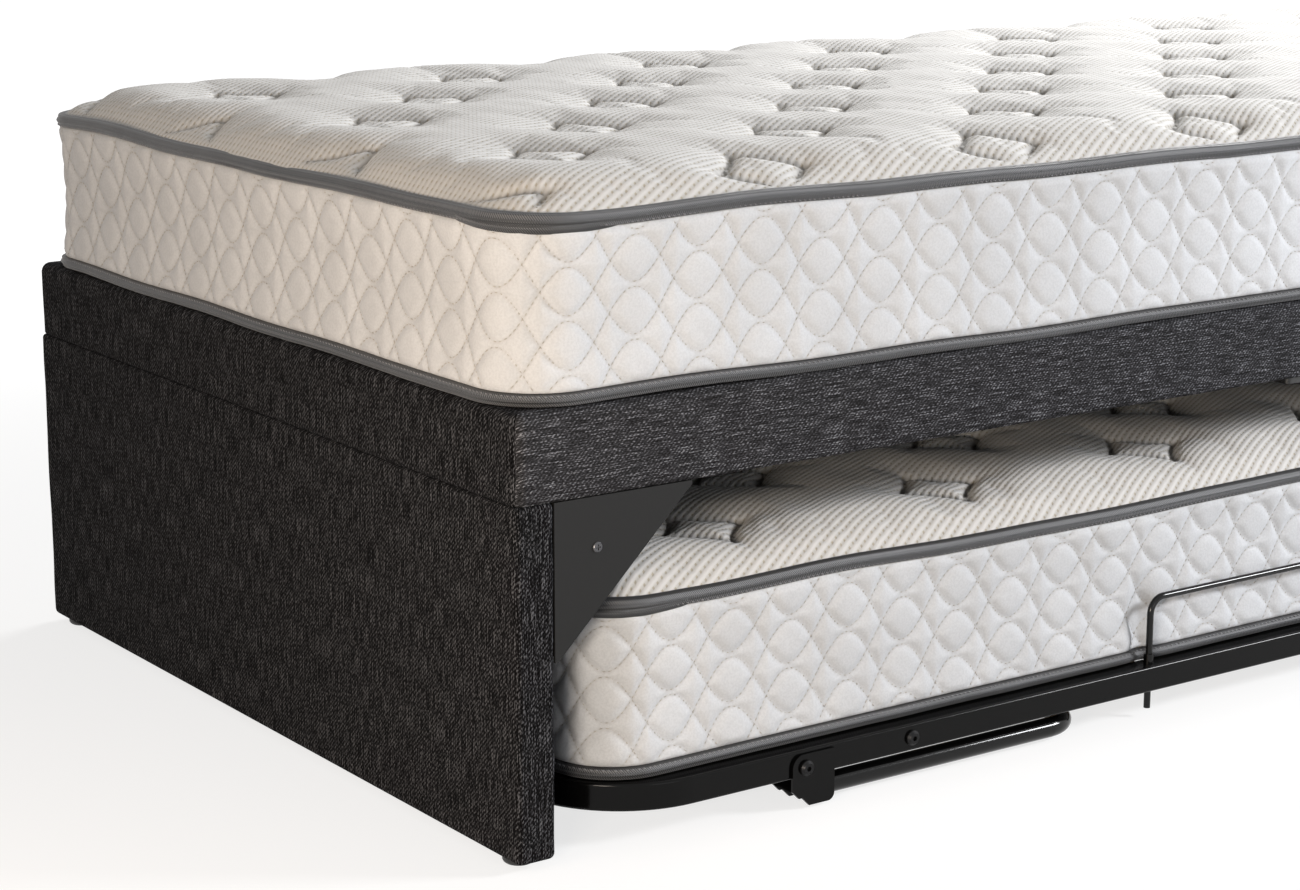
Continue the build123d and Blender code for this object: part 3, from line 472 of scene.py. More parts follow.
def finishTree(tree, shape, material):
    rounded = addNode(tree, "GeometryNodeSetShadeSmooth", inputs={0: shape})
    real = addNode(tree, "GeometryNodeRealizeInstances", inputs={0: rounded})
    done = addNode(tree, "GeometryNodeSetMaterial", inputs={"Geometry": real, "Material": material})
    addNode(tree, "NodeGroupOutput", inputs={0: done})
    return tree


def stitchTree():
    tree, given, path = startTree("stitchRun", {"Pitch": "Float", "Length": "Float", "Thickness": "Float",
                                                "Turn": "Float", "Seed": "Int", "Thread": "Material"})
    spaced = addNode(tree, "GeometryNodeResampleCurve", {"mode": "LENGTH"}, {"Curve": path, "Length": given["Pitch"]})
    tangent = addNode(tree, "GeometryNodeInputTangent")
    lined = addNode(tree, "FunctionNodeAlignRotationToVector", {"axis": "X"}, {"Vector": tangent})
    slant = addNode(tree, "CombineXYZ", inputs={1: given["Turn"]})
    turned = addNode(tree, "FunctionNodeRotateRotation", {"rotation_space": "LOCAL"}, {0: lined, 1: slant})
    bead = addNode(tree, "GeometryNodeMeshUVSphere", inputs={"Segments": 4, "Rings": 2, "Radius": 0.5})
    size = addNode(tree, "CombineXYZ", inputs={0: given["Length"], 1: given["Thickness"], 2: given["Thickness"]})
    vary = addNode(tree, "FunctionNodeRandomValue", {"data_type": "FLOAT"},
                   {"Min": 0.86, "Max": 1.1, "Seed": given["Seed"]})
    sized = addNode(tree, "VectorMath", scaled, {0: size, "Scale": vary.outputs[1]})
    placed = addNode(tree, "GeometryNodeInstanceOnPoints",
                     inputs={"Points": spaced, "Instance": bead, "Rotation": turned, "Scale": sized})
    return finishTree(tree, placed, given["Thread"])


def tapeTree():
    ridges, steps = 7, 28  # ridges and points round the tape
    tree, given, path = startTree("edgeTape", {"Height": "Float", "Depth": "Float", "Ridge": "Float",
                                               "Tape": "Material"})
    stored = {"data_type": "FLOAT", "domain": "POINT"}
    level = addNode(tree, "GeometryNodeSetCurveNormal", {"mode": "Z_UP"}, {0: path})
    run = addNode(tree, "GeometryNodeSplineParameter")
    longWay = addNode(tree, "GeometryNodeStoreNamedAttribute", stored,
                      {"Geometry": level, "Name": "alongTape", "Value": run.outputs["Length"]})
    ring = addNode(tree, "GeometryNodeCurvePrimitiveCircle", inputs={"Resolution": steps, "Radius": 0.5})
    turn = addNode(tree, "GeometryNodeSplineParameter").outputs["Factor"]
    angle = addNode(tree, "Math", times, {0: turn, 1: ridges * fullTurn})
    ripple = addNode(tree, "Math", {"operation": "COSINE"}, {0: angle})
    swell = addNode(tree, "Math", timesPlus, {0: ripple, 1: given["Ridge"], 2: 1.0})
    here = addNode(tree, "GeometryNodeInputPosition")
    ridged = addNode(tree, "VectorMath", scaled, {0: here, "Scale": swell})
    size = addNode(tree, "CombineXYZ", inputs={0: given["Depth"], 1: given["Height"], 2: 1.0})
    sized = addNode(tree, "VectorMath", times, {0: ridged, 1: size})
    shaped = addNode(tree, "GeometryNodeSetPosition", inputs={"Geometry": ring, "Position": sized})
    around = addNode(tree, "Math", times, {0: turn, 1: tapeGirth})
    shortWay = addNode(tree, "GeometryNodeStoreNamedAttribute", stored,
                       {"Geometry": shaped, "Name": "roundTape", "Value": around})
    swept = addNode(tree, "GeometryNodeCurveToMesh",
                    inputs={"Curve": longWay, "Profile Curve": shortWay, "Fill Caps": True})
    readLong = addNode(tree, "GeometryNodeInputNamedAttribute", number, {"Name": "alongTape"})
    readShort = addNode(tree, "GeometryNodeInputNamedAttribute", number, {"Name": "roundTape"})
    pair = addNode(tree, "CombineXYZ", inputs={0: readLong, 1: readShort})
    mapped = addNode(tree, "GeometryNodeStoreNamedAttribute", {"data_type": "FLOAT2", "domain": "CORNER"},
                     {"Geometry": swept, "Name": "tape", "Value": pair})
    return finishTree(tree, mapped, given["Tape"])


def runTree(name, tree, points, edges, values):
    # the path goes through the tree and comes out as a plain mesh piece
    mesh = bpy.data.meshes.new(name)
    mesh.from_pydata(points, edges, [])
    source = bpy.data.objects.new(name + "Path", mesh)
    scene.collection.objects.link(source)
    modifier = source.modifiers.new("tree", "NODES")
    modifier.node_group = tree
    labels = {item.name: item.identifier for item in tree.interface.items_tree if item.in_out == "INPUT"}
    for label, value in values.items():
        modifier[labels[label]] = value
    shown = source.evaluated_get(bpy.context.evaluated_depsgraph_get())
    made = bpy.data.meshes.new_from_object(shown)
    source.modifiers.clear()
    bpy.data.objects.remove(source)
    piece = bpy.data.objects.new(name, made)
    scene.collection.objects.link(piece)
    return piece


def addRun(points, edges, spots, keep, closed):
    # the kept stretches of a path, joined point to point
    index = np.cumsum(keep) - 1 + len(points)
    joined = np.nonzero(keep & np.roll(keep, -1))[0] if closed else np.nonzero(keep[:-1] & keep[1:])[0]
    points.extend(spots[keep].tolist())
    edges.extend(zip(index[joined].tolist(), index[(joined + 1) % len(keep)].tolist()))


stitches, edgeTape = stitchTree(), tapeTree()

# mattresses; a bound edge is the lower or the upper rim of one
lowRim, highRim = 1, 2
mattresses = {
    "upper": {"body": "bed_base", "radius": 0.062, "periods": 42, "eggColumn": -0.821, "eggRise": 0.1045,
              "firstRow": 0.0, "pitchX": 0.265, "seed": 5, "press": 0.0, "lowSway": 0.0013},
    "lower": {"body": "trundle", "radius": 0.062, "periods": 40, "eggColumn": -0.842, "eggRise": 0.1020,
              "firstRow": 0.069, "pitchX": 0.270, "seed": 8, "press": 0.006, "lowSway": 0.0003},
}


def bedOutline(bed, station):
    return roundedOutline(bed["length"], bed["width"], bed["radius"], station)


# tape round both edges: lowOut, lowSink and trim fit the lower one over what carries it
binding = {"depth": 0.0125, "ridge": 0.09, "sit": -0.0028, "spacing": 0.006, "start": 0.45, "highSway": 0.0016,
           "wander": 0.0006, "wanderSpans": (0.05, 0.3), "lowOut": 0.0014, "lowSink": 0.0002,
           "trim": {lowRim: -0.0012, highRim: 0.0012}, "hoopDip": 0.27, "lap": 0.0045, "lapFrom": 0.075,
           "lapTo": 0.085, "lapSteps": 24, "lapSit": 0.0004}
tapeStitch = {"Pitch": 0.0052, "Length": 0.0036, "Thickness": 0.0013, "Turn": 0.5}
seam = {"level": {lowRim: 0.33, highRim: -0.36}, "spacing": 0.006, "lift": 0.0004}
hoop = {"wire": 0.003, "width": 0.013, "fadeFrom": 0.035, "fadeTo": 0.080}


def rimBottom(bed, rim):
    return bed["bottom"] - binding["lowSink"] if rim == lowRim else bed["borderTop"]


def edgeRise(bed, station, rim):
    # how far a bound edge wanders up and down on its way round
    draw = np.random.default_rng(bed["seed"] * 10 + rim)
    turn = fullTurn * station / bed["outline"]
    waves = sum(np.sin(k * turn + draw.random() * 6.28) * draw.uniform(0.5, 1.0) for k in (4, 7, 11, 17, 23))
    return (bed["lowSway"] if rim == lowRim else binding["highSway"]) * waves / 2


def pressedIn(bed, station, height):
    # how far a retainer hoop's legs press into the side, two at the front and two at the back
    legX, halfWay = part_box("front_retainer")[1].x - hoop["wire"], bed["outline"] / 2
    gap = np.full_like(station, 1.0)
    for leg in (legX, -legX, halfWay + legX, halfWay - legX):
        gap = np.minimum(gap, np.abs(np.mod(station - leg + halfWay, bed["outline"]) - halfWay))
    fade = 1 - smoothStep(hoop["fadeFrom"], hoop["fadeTo"], height)
    return bed["press"] * np.exp(-(gap / hoop["width"]) ** 2) * fade


def makeBinding(name, bed, rim):
    height = bed["tapeHeight"]
    middle = rimBottom(bed, rim) + height / 2
    count = int(bed["outline"] / binding["spacing"])
    station = (np.arange(count) / count + binding["start"]) * bed["outline"]
    spot, outward = bedOutline(bed, station)
    out = binding["sit"] + binding["wander"] * softWaves(bed["seed"] + rim, station, station * 0,
                                                         *binding["wanderSpans"])
    sunk = 0
    if rim == lowRim:  # it stands out over the edge it lies on, and gives way where a hoop's leg presses it in
        dent = pressedIn(bed, station, station * 0)
        out, sunk = out + binding["lowOut"] - dent, dent * binding["hoopDip"]
    points = np.column_stack([spot + outward * out[:, None], middle - sunk + edgeRise(bed, station, rim)])
    edges = [(k, (k + 1) % count) for k in range(count)]
    if rim == highRim:  # the tape's end is lapped under its start, round the corner next to the end panel
        steps = binding["lapSteps"]
        corner = bed["outline"] - bed["length"] / 2 + bed["radius"] - math.pi * bed["radius"] / 4
        under = np.linspace(corner - binding["lapFrom"], corner + binding["lapTo"], steps)
        spot, outward = bedOutline(bed, under)
        sink = binding["lap"] * np.sin(np.linspace(0, math.pi, steps)) ** 0.6
        lapped = spot + outward * (binding["sit"] - binding["lapSit"])
        points = np.concatenate([points, np.column_stack([lapped, middle - sink + edgeRise(bed, under, rim)])])
        edges += [(count + k, count + k + 1) for k in range(steps - 1)]
    return runTree(name, edgeTape, points.tolist(), edges,
                   {"Height": height + binding["trim"][rim], "Depth": binding["depth"], "Ridge": binding["ridge"],
                    "Tape": tape})


def makeTapeStitches(name, bed, rim):
    count = int(bed["outline"] / seam["spacing"])
    station = np.arange(count) / count * bed["outline"]
    spot, outward = bedOutline(bed, station)
    level = seam["level"][rim]
    reach = binding["sit"] + binding["depth"] / 2 * math.sqrt(max(0, 1 - (2 * level) ** 2)) + seam["lift"]
    if rim == lowRim:
        reach = (reach + binding["lowOut"] - pressedIn(bed, station, station * 0))[:, None]
    height = rimBottom(bed, rim) + bed["tapeHeight"] * (0.5 + level) + edgeRise(bed, station, rim)
    points = np.column_stack([spot + outward * reach, height])
    edges = [(k, (k + 1) % count) for k in range(count)]
    values = {**tapeStitch, "Seed": bed["seed"] + rim, "Thread": tapeThread}
    return runTree(name, stitches, points.tolist(), edges, values)


# quilted border: two mirrored families of wavy stitch lines with puffs between them
quilt = {"lineStep": 0.0446, "swing": 0.70, "puff": 0.0037, "groove": 0.0047, "groovePower": 1.2, "spacing": 0.0024,
         "draw": 0.0050, "drawPower": 0.8, "slack": 0.0011, "slackSpans": (0.09, 0.4), "slackStretch": 1.5,
         "hem": 0.006, "wall": 0.030, "turnIn": 0.003, "shade": 0.4, "shadeWidth": 0.0012, "lines": range(-3, 7),
         "threadStep": 0.0027, "threadMargin": 0.003, "threadClip": 0.001, "threadLift": 0.0004}
quiltStitch = {"Pitch": 0.0054, "Length": 0.0040, "Thickness": 0.0011, "Turn": 0.0}


def quiltWave(bed, station):
    # the lowest line's height, the lines' wave along the border and how steeply it runs
    swing, turns = quilt["swing"] * quilt["lineStep"], fullTurn * bed["periods"] / bed["outline"]
    phase = turns * (station - bed["eggColumn"])
    return bed["eggRise"] - 0.25 * quilt["lineStep"], swing * np.cos(phase), np.hypot(1, swing * turns * np.sin(phase))


def quiltDepth(bed, station, height):
    # distance to the nearest stitch line
    step = quilt["lineStep"]
    base, wave, lean = quiltWave(bed, station)
    first = np.abs(np.mod(height - base - wave + step / 2, step) - step / 2) / lean
    second = np.abs(np.mod(height - base - step / 2 + wave + step / 2, step) - step / 2) / lean
    return np.minimum(first, second)


def borderPoint(bed, station, height, lift=0.0):
    # the border at a height above its lower edge: drawn in between the tapes, puffed out between the stitch lines
    share = height / bed["borderHeight"]
    near = quiltDepth(bed, station, height)
    puff = quilt["puff"] * (1 - np.exp(-(near / quilt["groove"]) ** quilt["groovePower"]))
    slack = quilt["slack"] * softWaves(bed["seed"], station, height * quilt["slackStretch"], *quilt["slackSpans"])
    hem = smoothStep(0, quilt["hem"], height) * smoothStep(0, quilt["hem"], bed["borderHeight"] - height)
    drawn = quilt["draw"] * np.sin(math.pi * np.clip(share, 0, 1)) ** quilt["drawPower"]
    spot, outward = bedOutline(bed, station)
    out = (puff + slack) * hem - drawn + lift - pressedIn(bed, station, height)
    low, high = edgeRise(bed, station, lowRim), edgeRise(bed, station, highRim)
    level = bed["borderBottom"] + height + low * (1 - share) + high * share
    return np.column_stack([spot + outward * out[:, None], level])


def makeBorder(name, bed):
    columns, rows = int(bed["outline"] / quilt["spacing"]), int(bed["borderHeight"] / quilt["spacing"])
    station = np.arange(columns) / columns * bed["outline"]
    layers, tones = [], []
    for height in np.linspace(0, bed["borderHeight"], rows):
        level = np.full(columns, height)
        layers.append(borderPoint(bed, station, level))
        # painted shade along the stitch lines, kept in the tone attribute for the knit
        tones.append(quilt["shade"] * np.exp(-(quiltDepth(bed, station, level) / quilt["shadeWidth"]) ** 2))
    spot, outward = bedOutline(bed, station)
    inner = spot - outward * quilt["wall"]
    # turned in under the tape, and back down behind
    for height in (bed["borderHeight"] + quilt["turnIn"], -quilt["turnIn"]):
        layers.append(np.column_stack([inner, np.full(columns, bed["borderBottom"] + height)]))
        tones.append(np.zeros(columns))
    faces = gridFaces(len(layers), columns, True, True)
    return makePiece(name, np.concatenate(layers), faces, knit, tone=np.concatenate(tones))


def makeQuiltStitches(name, bed):
    step, margin, clip, top = quilt["lineStep"], quilt["threadMargin"], quilt["threadClip"], bed["borderHeight"]
    count = int(bed["outline"] / quilt["threadStep"])
    station = np.arange(count + 1) / count * bed["outline"]
    base, wave, _ = quiltWave(bed, station)
    points, edges = [], []
    for line in quilt["lines"]:
        for height in (base + line * step + wave, base + (line + 0.5) * step - wave):
            spots = borderPoint(bed, station, np.clip(height, clip, top - clip), quilt["threadLift"])
            addRun(points, edges, spots, (height > margin) & (height < top - margin), False)
    return runTree(name, stitches, points, edges, {**quiltStitch, "Seed": bed["seed"], "Thread": quiltThread})


# tufted ticking: four pointed stars with hollow sides in staggered rows
tufts = {"pitchY": 0.138, "pastSide": 0.03, "pastEnd": 0.02, "jitter": 0.0015, "shares": (0.9, 1.1), "lean": 0.035,
         "reach": 0.048, "waist": 0.83, "outlinePoints": 240, "near": 0.16, "depth": 0.0125, "wall": 0.0065,
         "wallPower": 0.72, "puff": 0.0116, "puffWall": 0.0055, "puffPower": 0.9, "tipFrom": 0.030, "tipFade": 0.022,
         "tipHold": 0.62, "crease": 0.0050, "creaseFrom": 0.8, "creaseRun": 0.050, "creasePower": 1.5,
         "creaseWidth": 0.0035, "creaseSpread": 0.006, "dip": 0.0040, "dipReach": 0.075, "shade": 0.75,
         "shadeWidth": 0.0028, "spacing": 0.0032, "threadPoints": 96, "threadMargin": 0.010, "threadLift": 0.0003}
tuftStitch = {"Pitch": 0.0046, "Length": 0.0036, "Thickness": 0.0010, "Turn": 0.0}
crown = {"margin": 0.075, "power": 2.2, "inset": 0.004, "sink": 0.002, "free": (0.004, 0.030), "uneven": 0.0009,
         "unevenSpans": (0.05, 0.22), "loft": 0.9, "rimRise": 0.0008, "rimWaves": 5, "rimReach": 0.08, "cornerRows": 20,
         "skirt": (0.994, 0.988, 0), "skirtDrop": 0.008, "clear": 0.0012}
puffing = {"spacing": 0.0070, "hold": 0.18, "rimHold": 0.016, "quality": 5, "mass": 0.25, "stiffness": 12.0,
           "bending": 0.4, "slack": 0.004, "pressure": 4.0, "frames": 14, "cap": 0.0022}


def tuftSpots(bed):
    draw = np.random.default_rng(bed["seed"] + 40)
    spots = []
    for row in np.arange(-4, 5) * tufts["pitchY"] + bed["firstRow"]:
        if abs(row) >= bed["width"] / 2 + tufts["pastSide"]:
            continue
        odd = round((row - bed["firstRow"]) / tufts["pitchY"]) % 2
        for column in range(-5, 6):
            x = (column + odd / 2) * bed["pitchX"]
            if abs(x) < bed["length"] / 2 + tufts["pastEnd"]:
                spots.append((x + draw.normal(0, tufts["jitter"]), row + draw.normal(0, tufts["jitter"]),
                              draw.uniform(*tufts["shares"]), draw.normal(0, tufts["lean"])))
    return spots


def starOutline(count):
    turn, power = np.linspace(0, fullTurn, count, endpoint=False), 2 / tufts["waist"]
    return tufts["reach"] * np.stack([np.sign(f) * np.abs(f) ** power for f in (np.cos(turn), np.sin(turn))], -1)


def tuftDepth(bed, x, y):
    # sunk outline of a star, a small puff inside it and creases that run out of its points
    depth, crease = np.zeros_like(x), np.zeros_like(x)
    star = starOutline(tufts["outlinePoints"])
    for spotX, spotY, share, lean in tuftSpots(bed):
        near = np.nonzero((np.abs(x - spotX) < tufts["near"]) & (np.abs(y - spotY) < tufts["near"]))[0]
        if not len(near):
            continue
        dx, dy = x[near] - spotX, y[near] - spotY
        dx, dy = dx * math.cos(lean) + dy * math.sin(lean), dy * math.cos(lean) - dx * math.sin(lean)
        farX, farY = np.abs(dx), np.abs(dy)
        gap = np.sqrt(((dx[:, None] - star[:, 0]) ** 2 + (dy[:, None] - star[:, 1]) ** 2).min(1))
        inside = (farX / tufts["reach"]) ** tufts["waist"] + (farY / tufts["reach"]) ** tufts["waist"] < 1
        puff = 1 - np.exp(-(gap / tufts["puffWall"]) ** tufts["puffPower"])
        wall = np.exp(-(gap / tufts["wall"]) ** tufts["wallPower"])
        sunk = np.where(inside, 1 - tufts["puff"] / tufts["depth"] * puff, wall)
        past = np.maximum(np.maximum(farX, farY) - tufts["tipFrom"], 0) / tufts["tipFade"]
        held = tufts["tipHold"] + (1 - tufts["tipHold"]) * np.exp(-past ** 2)  # the points are held less deep
        here = tufts["depth"] * share * sunk * held
        for run, side in ((farX, dy), (farY, dx)):
            past = np.clip((run - tufts["reach"] * tufts["creaseFrom"]) / tufts["creaseRun"], 0, 1)
            across = np.exp(-(side / (tufts["creaseWidth"] + tufts["creaseSpread"] * past)) ** 2)
            creased = tufts["crease"] * (1 - past) ** tufts["creasePower"] * across
            here = np.maximum(here, np.where(past > 0, creased, 0))
        here = here + tufts["dip"] * np.exp(-(np.hypot(dx, dy) / tufts["dipReach"]) ** 2)
        depth[near] = np.maximum(depth[near], here)
        crease[near] = np.maximum(crease[near], tufts["shade"] * np.exp(-(gap / tufts["shadeWidth"]) ** 2))
    return depth, crease


def panelLines(half, radius, spacing):
    # row places across a rounded panel: even in the middle, closer towards the rounded corner
    inner = np.linspace(-(half - radius), half - radius, int(2 * (half - radius) / spacing))
    bend = half - radius + radius * np.sin(np.linspace(0, math.pi / 2, crown["cornerRows"])[1:])
    return np.concatenate([-bend[::-1], inner, bend])


def topHeight(bed, x, y):
    length, width, radius = bed["length"] - crown["inset"], bed["width"] - crown["inset"], bed["radius"]
    edge = np.maximum(insideDistance(x, y, length, width, radius), 0)
    rise = bed["crownHeight"] * (1 - np.maximum(1 - edge / crown["margin"], 0) ** crown["power"])
    free = smoothStep(*crown["free"], edge)
    uneven = crown["uneven"] * softWaves(bed["seed"] + 2, x, y, *crown["unevenSpans"])
    around = np.arctan2(y / width, x / length)
    rim = crown["rimRise"] * np.sin(crown["rimWaves"] * around + bed["seed"])
    rim *= 1 - smoothStep(0.0, crown["rimReach"], edge)
    depth, crease = tuftDepth(bed, x, y)
    lofted = free * (tufts["dip"] * crown["loft"] + uneven - depth)
    return bed["crownBottom"] - crown["sink"] + rise + rim + lofted, crease * free


def panelGrid(bed, spacing):
    length, width, radius = bed["length"] - crown["inset"], bed["width"] - crown["inset"], bed["radius"]
    xs, ys = panelLines(length / 2, radius, spacing), panelLines(width / 2, radius, spacing)
    over = np.maximum(np.abs(ys) - (width / 2 - radius), 0)
    shrink = (length / 2 - radius + np.sqrt(np.maximum(radius ** 2 - over ** 2, 0))) / (length / 2)
    return xs, ys, (xs[None, :] * shrink[:, None]).ravel(), np.repeat(ys, len(xs))


def settleTop(bed):
    # the ticking is held at its stitches and its rim and blown up from inside, and how far it moves is kept
    xs, ys, x, y = panelGrid(bed, puffing["spacing"])
    height, crease = topHeight(bed, x, y)
    edge = insideDistance(x, y, bed["length"], bed["width"], bed["radius"])
    start = np.column_stack([x, y, height])
    sheet = makePiece("tickingSheet", start, gridFaces(len(ys), len(xs)), ticking)
    held = sheet.vertex_groups.new(name="held")
    held.add(np.nonzero((crease > puffing["hold"]) | (edge < puffing["rimHold"]))[0].tolist(), 1.0, "REPLACE")
    blown = sheet.modifiers.new("blown", "CLOTH")
    settings = blown.settings
    settings.quality, settings.mass = puffing["quality"], puffing["mass"]
    settings.tension_stiffness = settings.compression_stiffness = puffing["stiffness"]
    settings.bending_stiffness = puffing["bending"]
    settings.shrink_min = -puffing["slack"]
    settings.use_pressure = True
    settings.uniform_pressure_force = puffing["pressure"]
    settings.vertex_group_mass = "held"
    settings.effector_weights.gravity = 0
    blown.point_cache.frame_end = puffing["frames"]
    for step in range(1, puffing["frames"] + 1):
        scene.frame_set(step)
    shown = sheet.evaluated_get(bpy.context.evaluated_depsgraph_get()).to_mesh()
    moved = np.zeros(len(x) * 3, np.float32)
    shown.vertices.foreach_get("co", moved)
    moved = moved.reshape(-1, 3) - start
    reach = np.linalg.norm(moved, axis=1)
    print("ticking moved by up to", round(float(reach.max()) * 1000, 1), "mm")
    moved *= np.minimum(1, puffing["cap"] / np.maximum(reach, 1e-9))[:, None]
    sheet.modifiers.clear()
    bpy.data.objects.remove(sheet)
    scene.frame_set(1)
    return xs, ys, moved.reshape(len(ys), len(xs), 3)


def makeTopPanel(name, bed):
    xs, ys, x, y = panelGrid(bed, tufts["spacing"])
    height, crease = topHeight(bed, x, y)
    top = np.column_stack([x, y, height])
    roughX, roughY, moved = settleTop(bed)
    for axis in range(3):
        lines = np.stack([np.interp(xs, roughX, row) for row in moved[:, :, axis]])
        spread = np.stack([np.interp(ys, roughY, column) for column in lines.T], -1)
        top[:, axis] += spread.ravel()
    n, m = len(ys), len(xs)
    rim = np.concatenate([np.arange(m), np.arange(1, n) * m + m - 1, (n - 1) * m + np.arange(m - 2, -1, -1),
                          np.arange(n - 2, 0, -1) * m])
    skirt = top[rim] * crown["skirt"] + [0, 0, bed["crownBottom"] - crown["skirtDrop"]]
    start, k = len(top), np.arange(len(rim))
    after = (k + 1) % len(rim)
    walls = np.stack([rim, start + k, start + after, rim[after]], -1)
    faces = gridFaces(n, m).tolist() + walls.tolist() + [list(range(start + len(rim) - 1, start - 1, -1))]
    points = np.concatenate([top, skirt])
    tone = np.concatenate([crease, np.zeros(len(rim))])
    return makePiece(name, points, faces, ticking, uv=points[:, :2], tone=tone)


def makeTuftStitches(name, bed):
    shape = starOutline(tufts["threadPoints"])
    points, edges = [], []
    for spotX, spotY, _, lean in tuftSpots(bed):
        x = spotX + shape[:, 0] * math.cos(lean) - shape[:, 1] * math.sin(lean)
        y = spotY + shape[:, 1] * math.cos(lean) + shape[:, 0] * math.sin(lean)
        keep = insideDistance(x, y, bed["length"], bed["width"], bed["radius"]) > tufts["threadMargin"]
        z = topHeight(bed, x, y)[0] + tufts["threadLift"]
        addRun(points, edges, np.column_stack([x, y, z]), keep, True)
    return runTree(name, stitches, points, edges, {**tuftStitch, "Seed": bed["seed"] + 7, "Thread": tuftThread})


# underside panel: rows of (pull in, height) from the top's flat round to the bottom's flat
underside = {"inset": 0.0105, "stations": 360,
             "rows": [(0.030, 0.0112), (0.001, 0.0105), (0.0, 0.006), (0.004, 0.0016), (0.040, 0.0003)]}


def makeBottomPanel(name, bed):
    inset, ring = underside["inset"], underside["stations"]
    length, width, radius = bed["length"] - 2 * inset, bed["width"] - 2 * inset, bed["radius"] - inset
    station = np.arange(ring) / ring * outlineLength(length, width, radius)
    spot, outward = roundedOutline(length, width, radius, station)
    layers = [np.column_stack([spot - outward * pull, np.full(ring, bed["bottom"] + rise)])
              for pull, rise in underside["rows"]]
    faces = gridFaces(len(layers), ring, False, True)[:, ::-1].tolist()
    faces += [list(range(ring)), list(range(len(layers) * ring - 1, (len(layers) - 1) * ring - 1, -1))]
    points = np.concatenate(layers)
    return makePiece(name, points, faces, ticking, uv=points[:, :2])


for key, bed in mattresses.items():
    node, piece = key + "_mattress_", key + "Mattress"
    low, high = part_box(node + "border")
    bed["length"], bed["width"] = high.x - low.x, high.y - low.y
    bed["outline"] = outlineLength(bed["length"], bed["width"], bed["radius"])
    bed["borderBottom"], bed["borderTop"], bed["borderHeight"] = low.z, high.z, high.z - low.z
    bed["bottom"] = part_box(node + "bottom_binding")[0].z
    bed["crownBottom"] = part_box(node + "top_binding")[1].z
    bed["crownHeight"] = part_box(node + "top_panel")[1].z - bed["crownBottom"] - crown["clear"]
    bed["tapeHeight"] = bed["crownBottom"] - high.z
    made = [
        (makeBorder(piece + "Border", bed), "mattress_border", node + "border", 0.7),
        (makeTopPanel(piece + "Top", bed), "mattress_ticking", node + "top_panel", 0.75),
        (makeBottomPanel(piece + "Underside", bed), "mattress_ticking", node + "bottom_panel", 0.5),
        (makeBinding(piece + "TopTape", bed, highRim), "binding_tape", node + "top_binding"),
        (makeBinding(piece + "BottomTape", bed, lowRim), "binding_tape", node + "bottom_binding"),
        (makeQuiltStitches(piece + "Quilting", bed), "mattress_border"),
        (makeTuftStitches(piece + "Tufting", bed), "mattress_ticking"),
        (makeTapeStitches(piece + "TopSeam", bed, highRim), "binding_tape"),
        (makeTapeStitches(piece + "BottomSeam", bed, lowRim), "binding_tape"),
    ]
    for shape, *rest in made:
        placePiece(shape, bed["body"], *rest)
    print(key, "mattress:", sum(len(shape.data.polygons) for shape, *_ in made), "faces")

# upholstered base and end panels
upholstery = {"spacing": 0.016, "rowStep": 0.012, "roundSteps": 6, "cornerSteps": 14, "slackSpans": (0.07, 0.5),
              "slackStretch": 1.7, "lean": 0.7, "fill": 0.95,
              "base": {"radius": 0.012, "topRound": 0.009, "lowRound": 0.0045, "hem": 0.0048, "slack": 0.0007},
              "panel": {"radius": 0.006, "topRound": 0.0034, "lowRound": 0.0065, "hem": 0.012, "slack": 0.00049}}


def wrapStations(length, width, radius):
    places, start = [], 0.0
    for k, run in enumerate(outlineRuns(length, width, radius)[2]):
        steps = upholstery["cornerSteps"] if k % 2 else max(2, int(run / upholstery["spacing"]))
        places.append(start + np.arange(steps) / steps * run)
        start += run
    return np.concatenate(places)


def wrapProfile(cover, bottom, top):
    # (inset, height) from the underside's hem out and up the side to the top's flat
    turn = np.linspace(0, math.pi / 2, upholstery["roundSteps"])
    lowRound, topRound = cover["lowRound"], cover["topRound"]
    rows = max(3, int((top - bottom) / upholstery["rowStep"]))
    side = np.linspace(bottom + lowRound, top - topRound, rows)[1:-1]
    return ([(cover["hem"], bottom)]
            + [(lowRound * (1 - math.sin(t)), bottom + lowRound * (1 - math.cos(t))) for t in turn]
            + [(0.0, z) for z in side]
            + [(topRound * (1 - math.cos(t)), top - topRound * (1 - math.sin(t))) for t in turn])


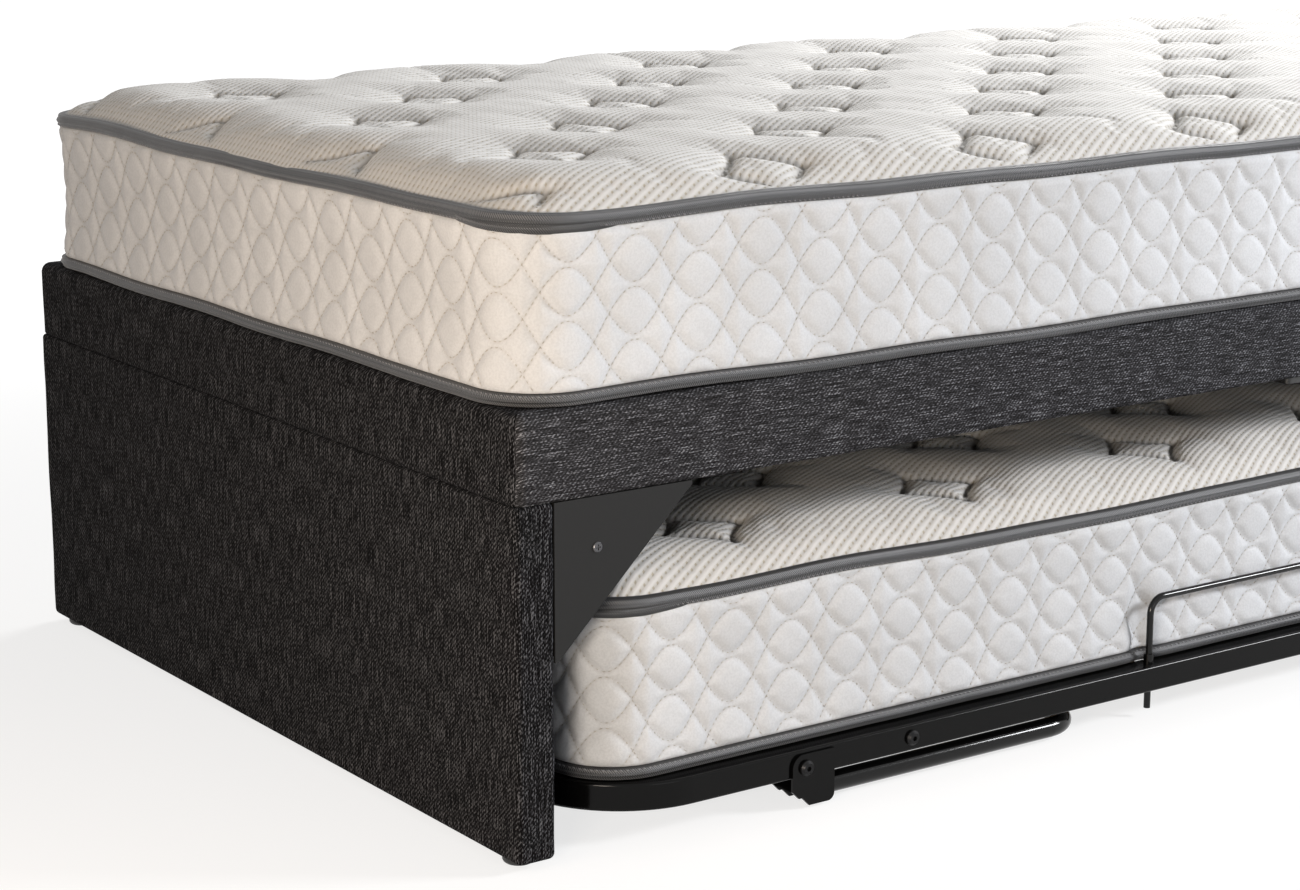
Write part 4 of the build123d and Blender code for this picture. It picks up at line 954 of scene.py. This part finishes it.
def makeWrapped(name, node, cover, seed, isBase):
    # cloth pulled round a box: a ring of stations by a profile, capped at its first and last rows; the base is lined,
    # so that it stays open underneath, and on its long sides the yarn lies lengthwise
    low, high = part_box(node)
    profile = wrapProfile(cover, low.z, high.z)
    if isBase:
        profile = [(cover["hem"], high.z - cover["hem"])] + profile
    length, width, radius = high.x - low.x, high.y - low.y, cover["radius"]
    centre = np.array([(high.x + low.x) / 2, (high.y + low.y) / 2])
    around = outlineLength(length, width, radius)
    station = wrapStations(length, width, radius)
    ring = len(station)
    spot, outward = roundedOutline(length, width, radius, station)
    layers, uvs = [], []
    for inset, height in profile:
        level = np.full(ring, height)
        ease = np.zeros(ring)
        if inset == 0:
            stretched = level * upholstery["slackStretch"]
            ease = cover["slack"] * softWaves(seed, station, stretched, *upholstery["slackSpans"])
        layers.append(np.column_stack([centre + spot + outward * (ease - inset)[:, None], level]))
        uvs.append(np.column_stack([station, level]))
    quads = gridFaces(len(layers), ring, False, True)
    points = np.concatenate(layers)
    caps = [list(range(ring - 1, -1, -1)), list(range((len(layers) - 1) * ring, len(layers) * ring))]
    corner, spots = np.concatenate(uvs)[quads], points[quads]  # one map per face corner, so the seam can turn the yarn
    wrapped = corner[:, :, 0].max(1) - corner[:, :, 0].min(1) > around / 2
    corner[wrapped, :, 0] += np.where(corner[wrapped, :, 0] < 1, around, 0)
    # the long sides are marked in the tone attribute, which the cloth paints paler as a painted sheen
    lengthwise = np.zeros(ring)
    if isBase:
        lengthwise = np.where(np.abs(outward[:, 1]) > np.abs(outward[:, 0]), 1.0, 0.0)
        across = np.cross(spots[:, 1] - spots[:, 0], spots[:, 2] - spots[:, 0])
        side = np.abs(across[:, 1]) > np.abs(across[:, 0])
        corner[side] = np.stack([spots[side][:, :, 2] + spots[side][:, :, 1] * upholstery["lean"],
                                 spots[side][:, :, 0]], -1)
    uv = np.concatenate([corner.reshape(-1, 2)] + [points[cap][:, [1, 0]] for cap in caps])
    piece = makePiece(name, points, quads.tolist() + caps, cloth, uv=uv, tone=np.tile(lengthwise, len(layers)))
    placePiece(piece, "bed_base", "upholstery", node, upholstery["fill"])


makeWrapped("baseUpholstery", "base_cover", upholstery["base"], 21, True)
makeWrapped("footPanelUpholstery", "foot_panel_cover", upholstery["panel"], 31, False)
makeWrapped("headPanelUpholstery", "head_panel_cover", upholstery["panel"], 37, False)
print("base and end panels covered")
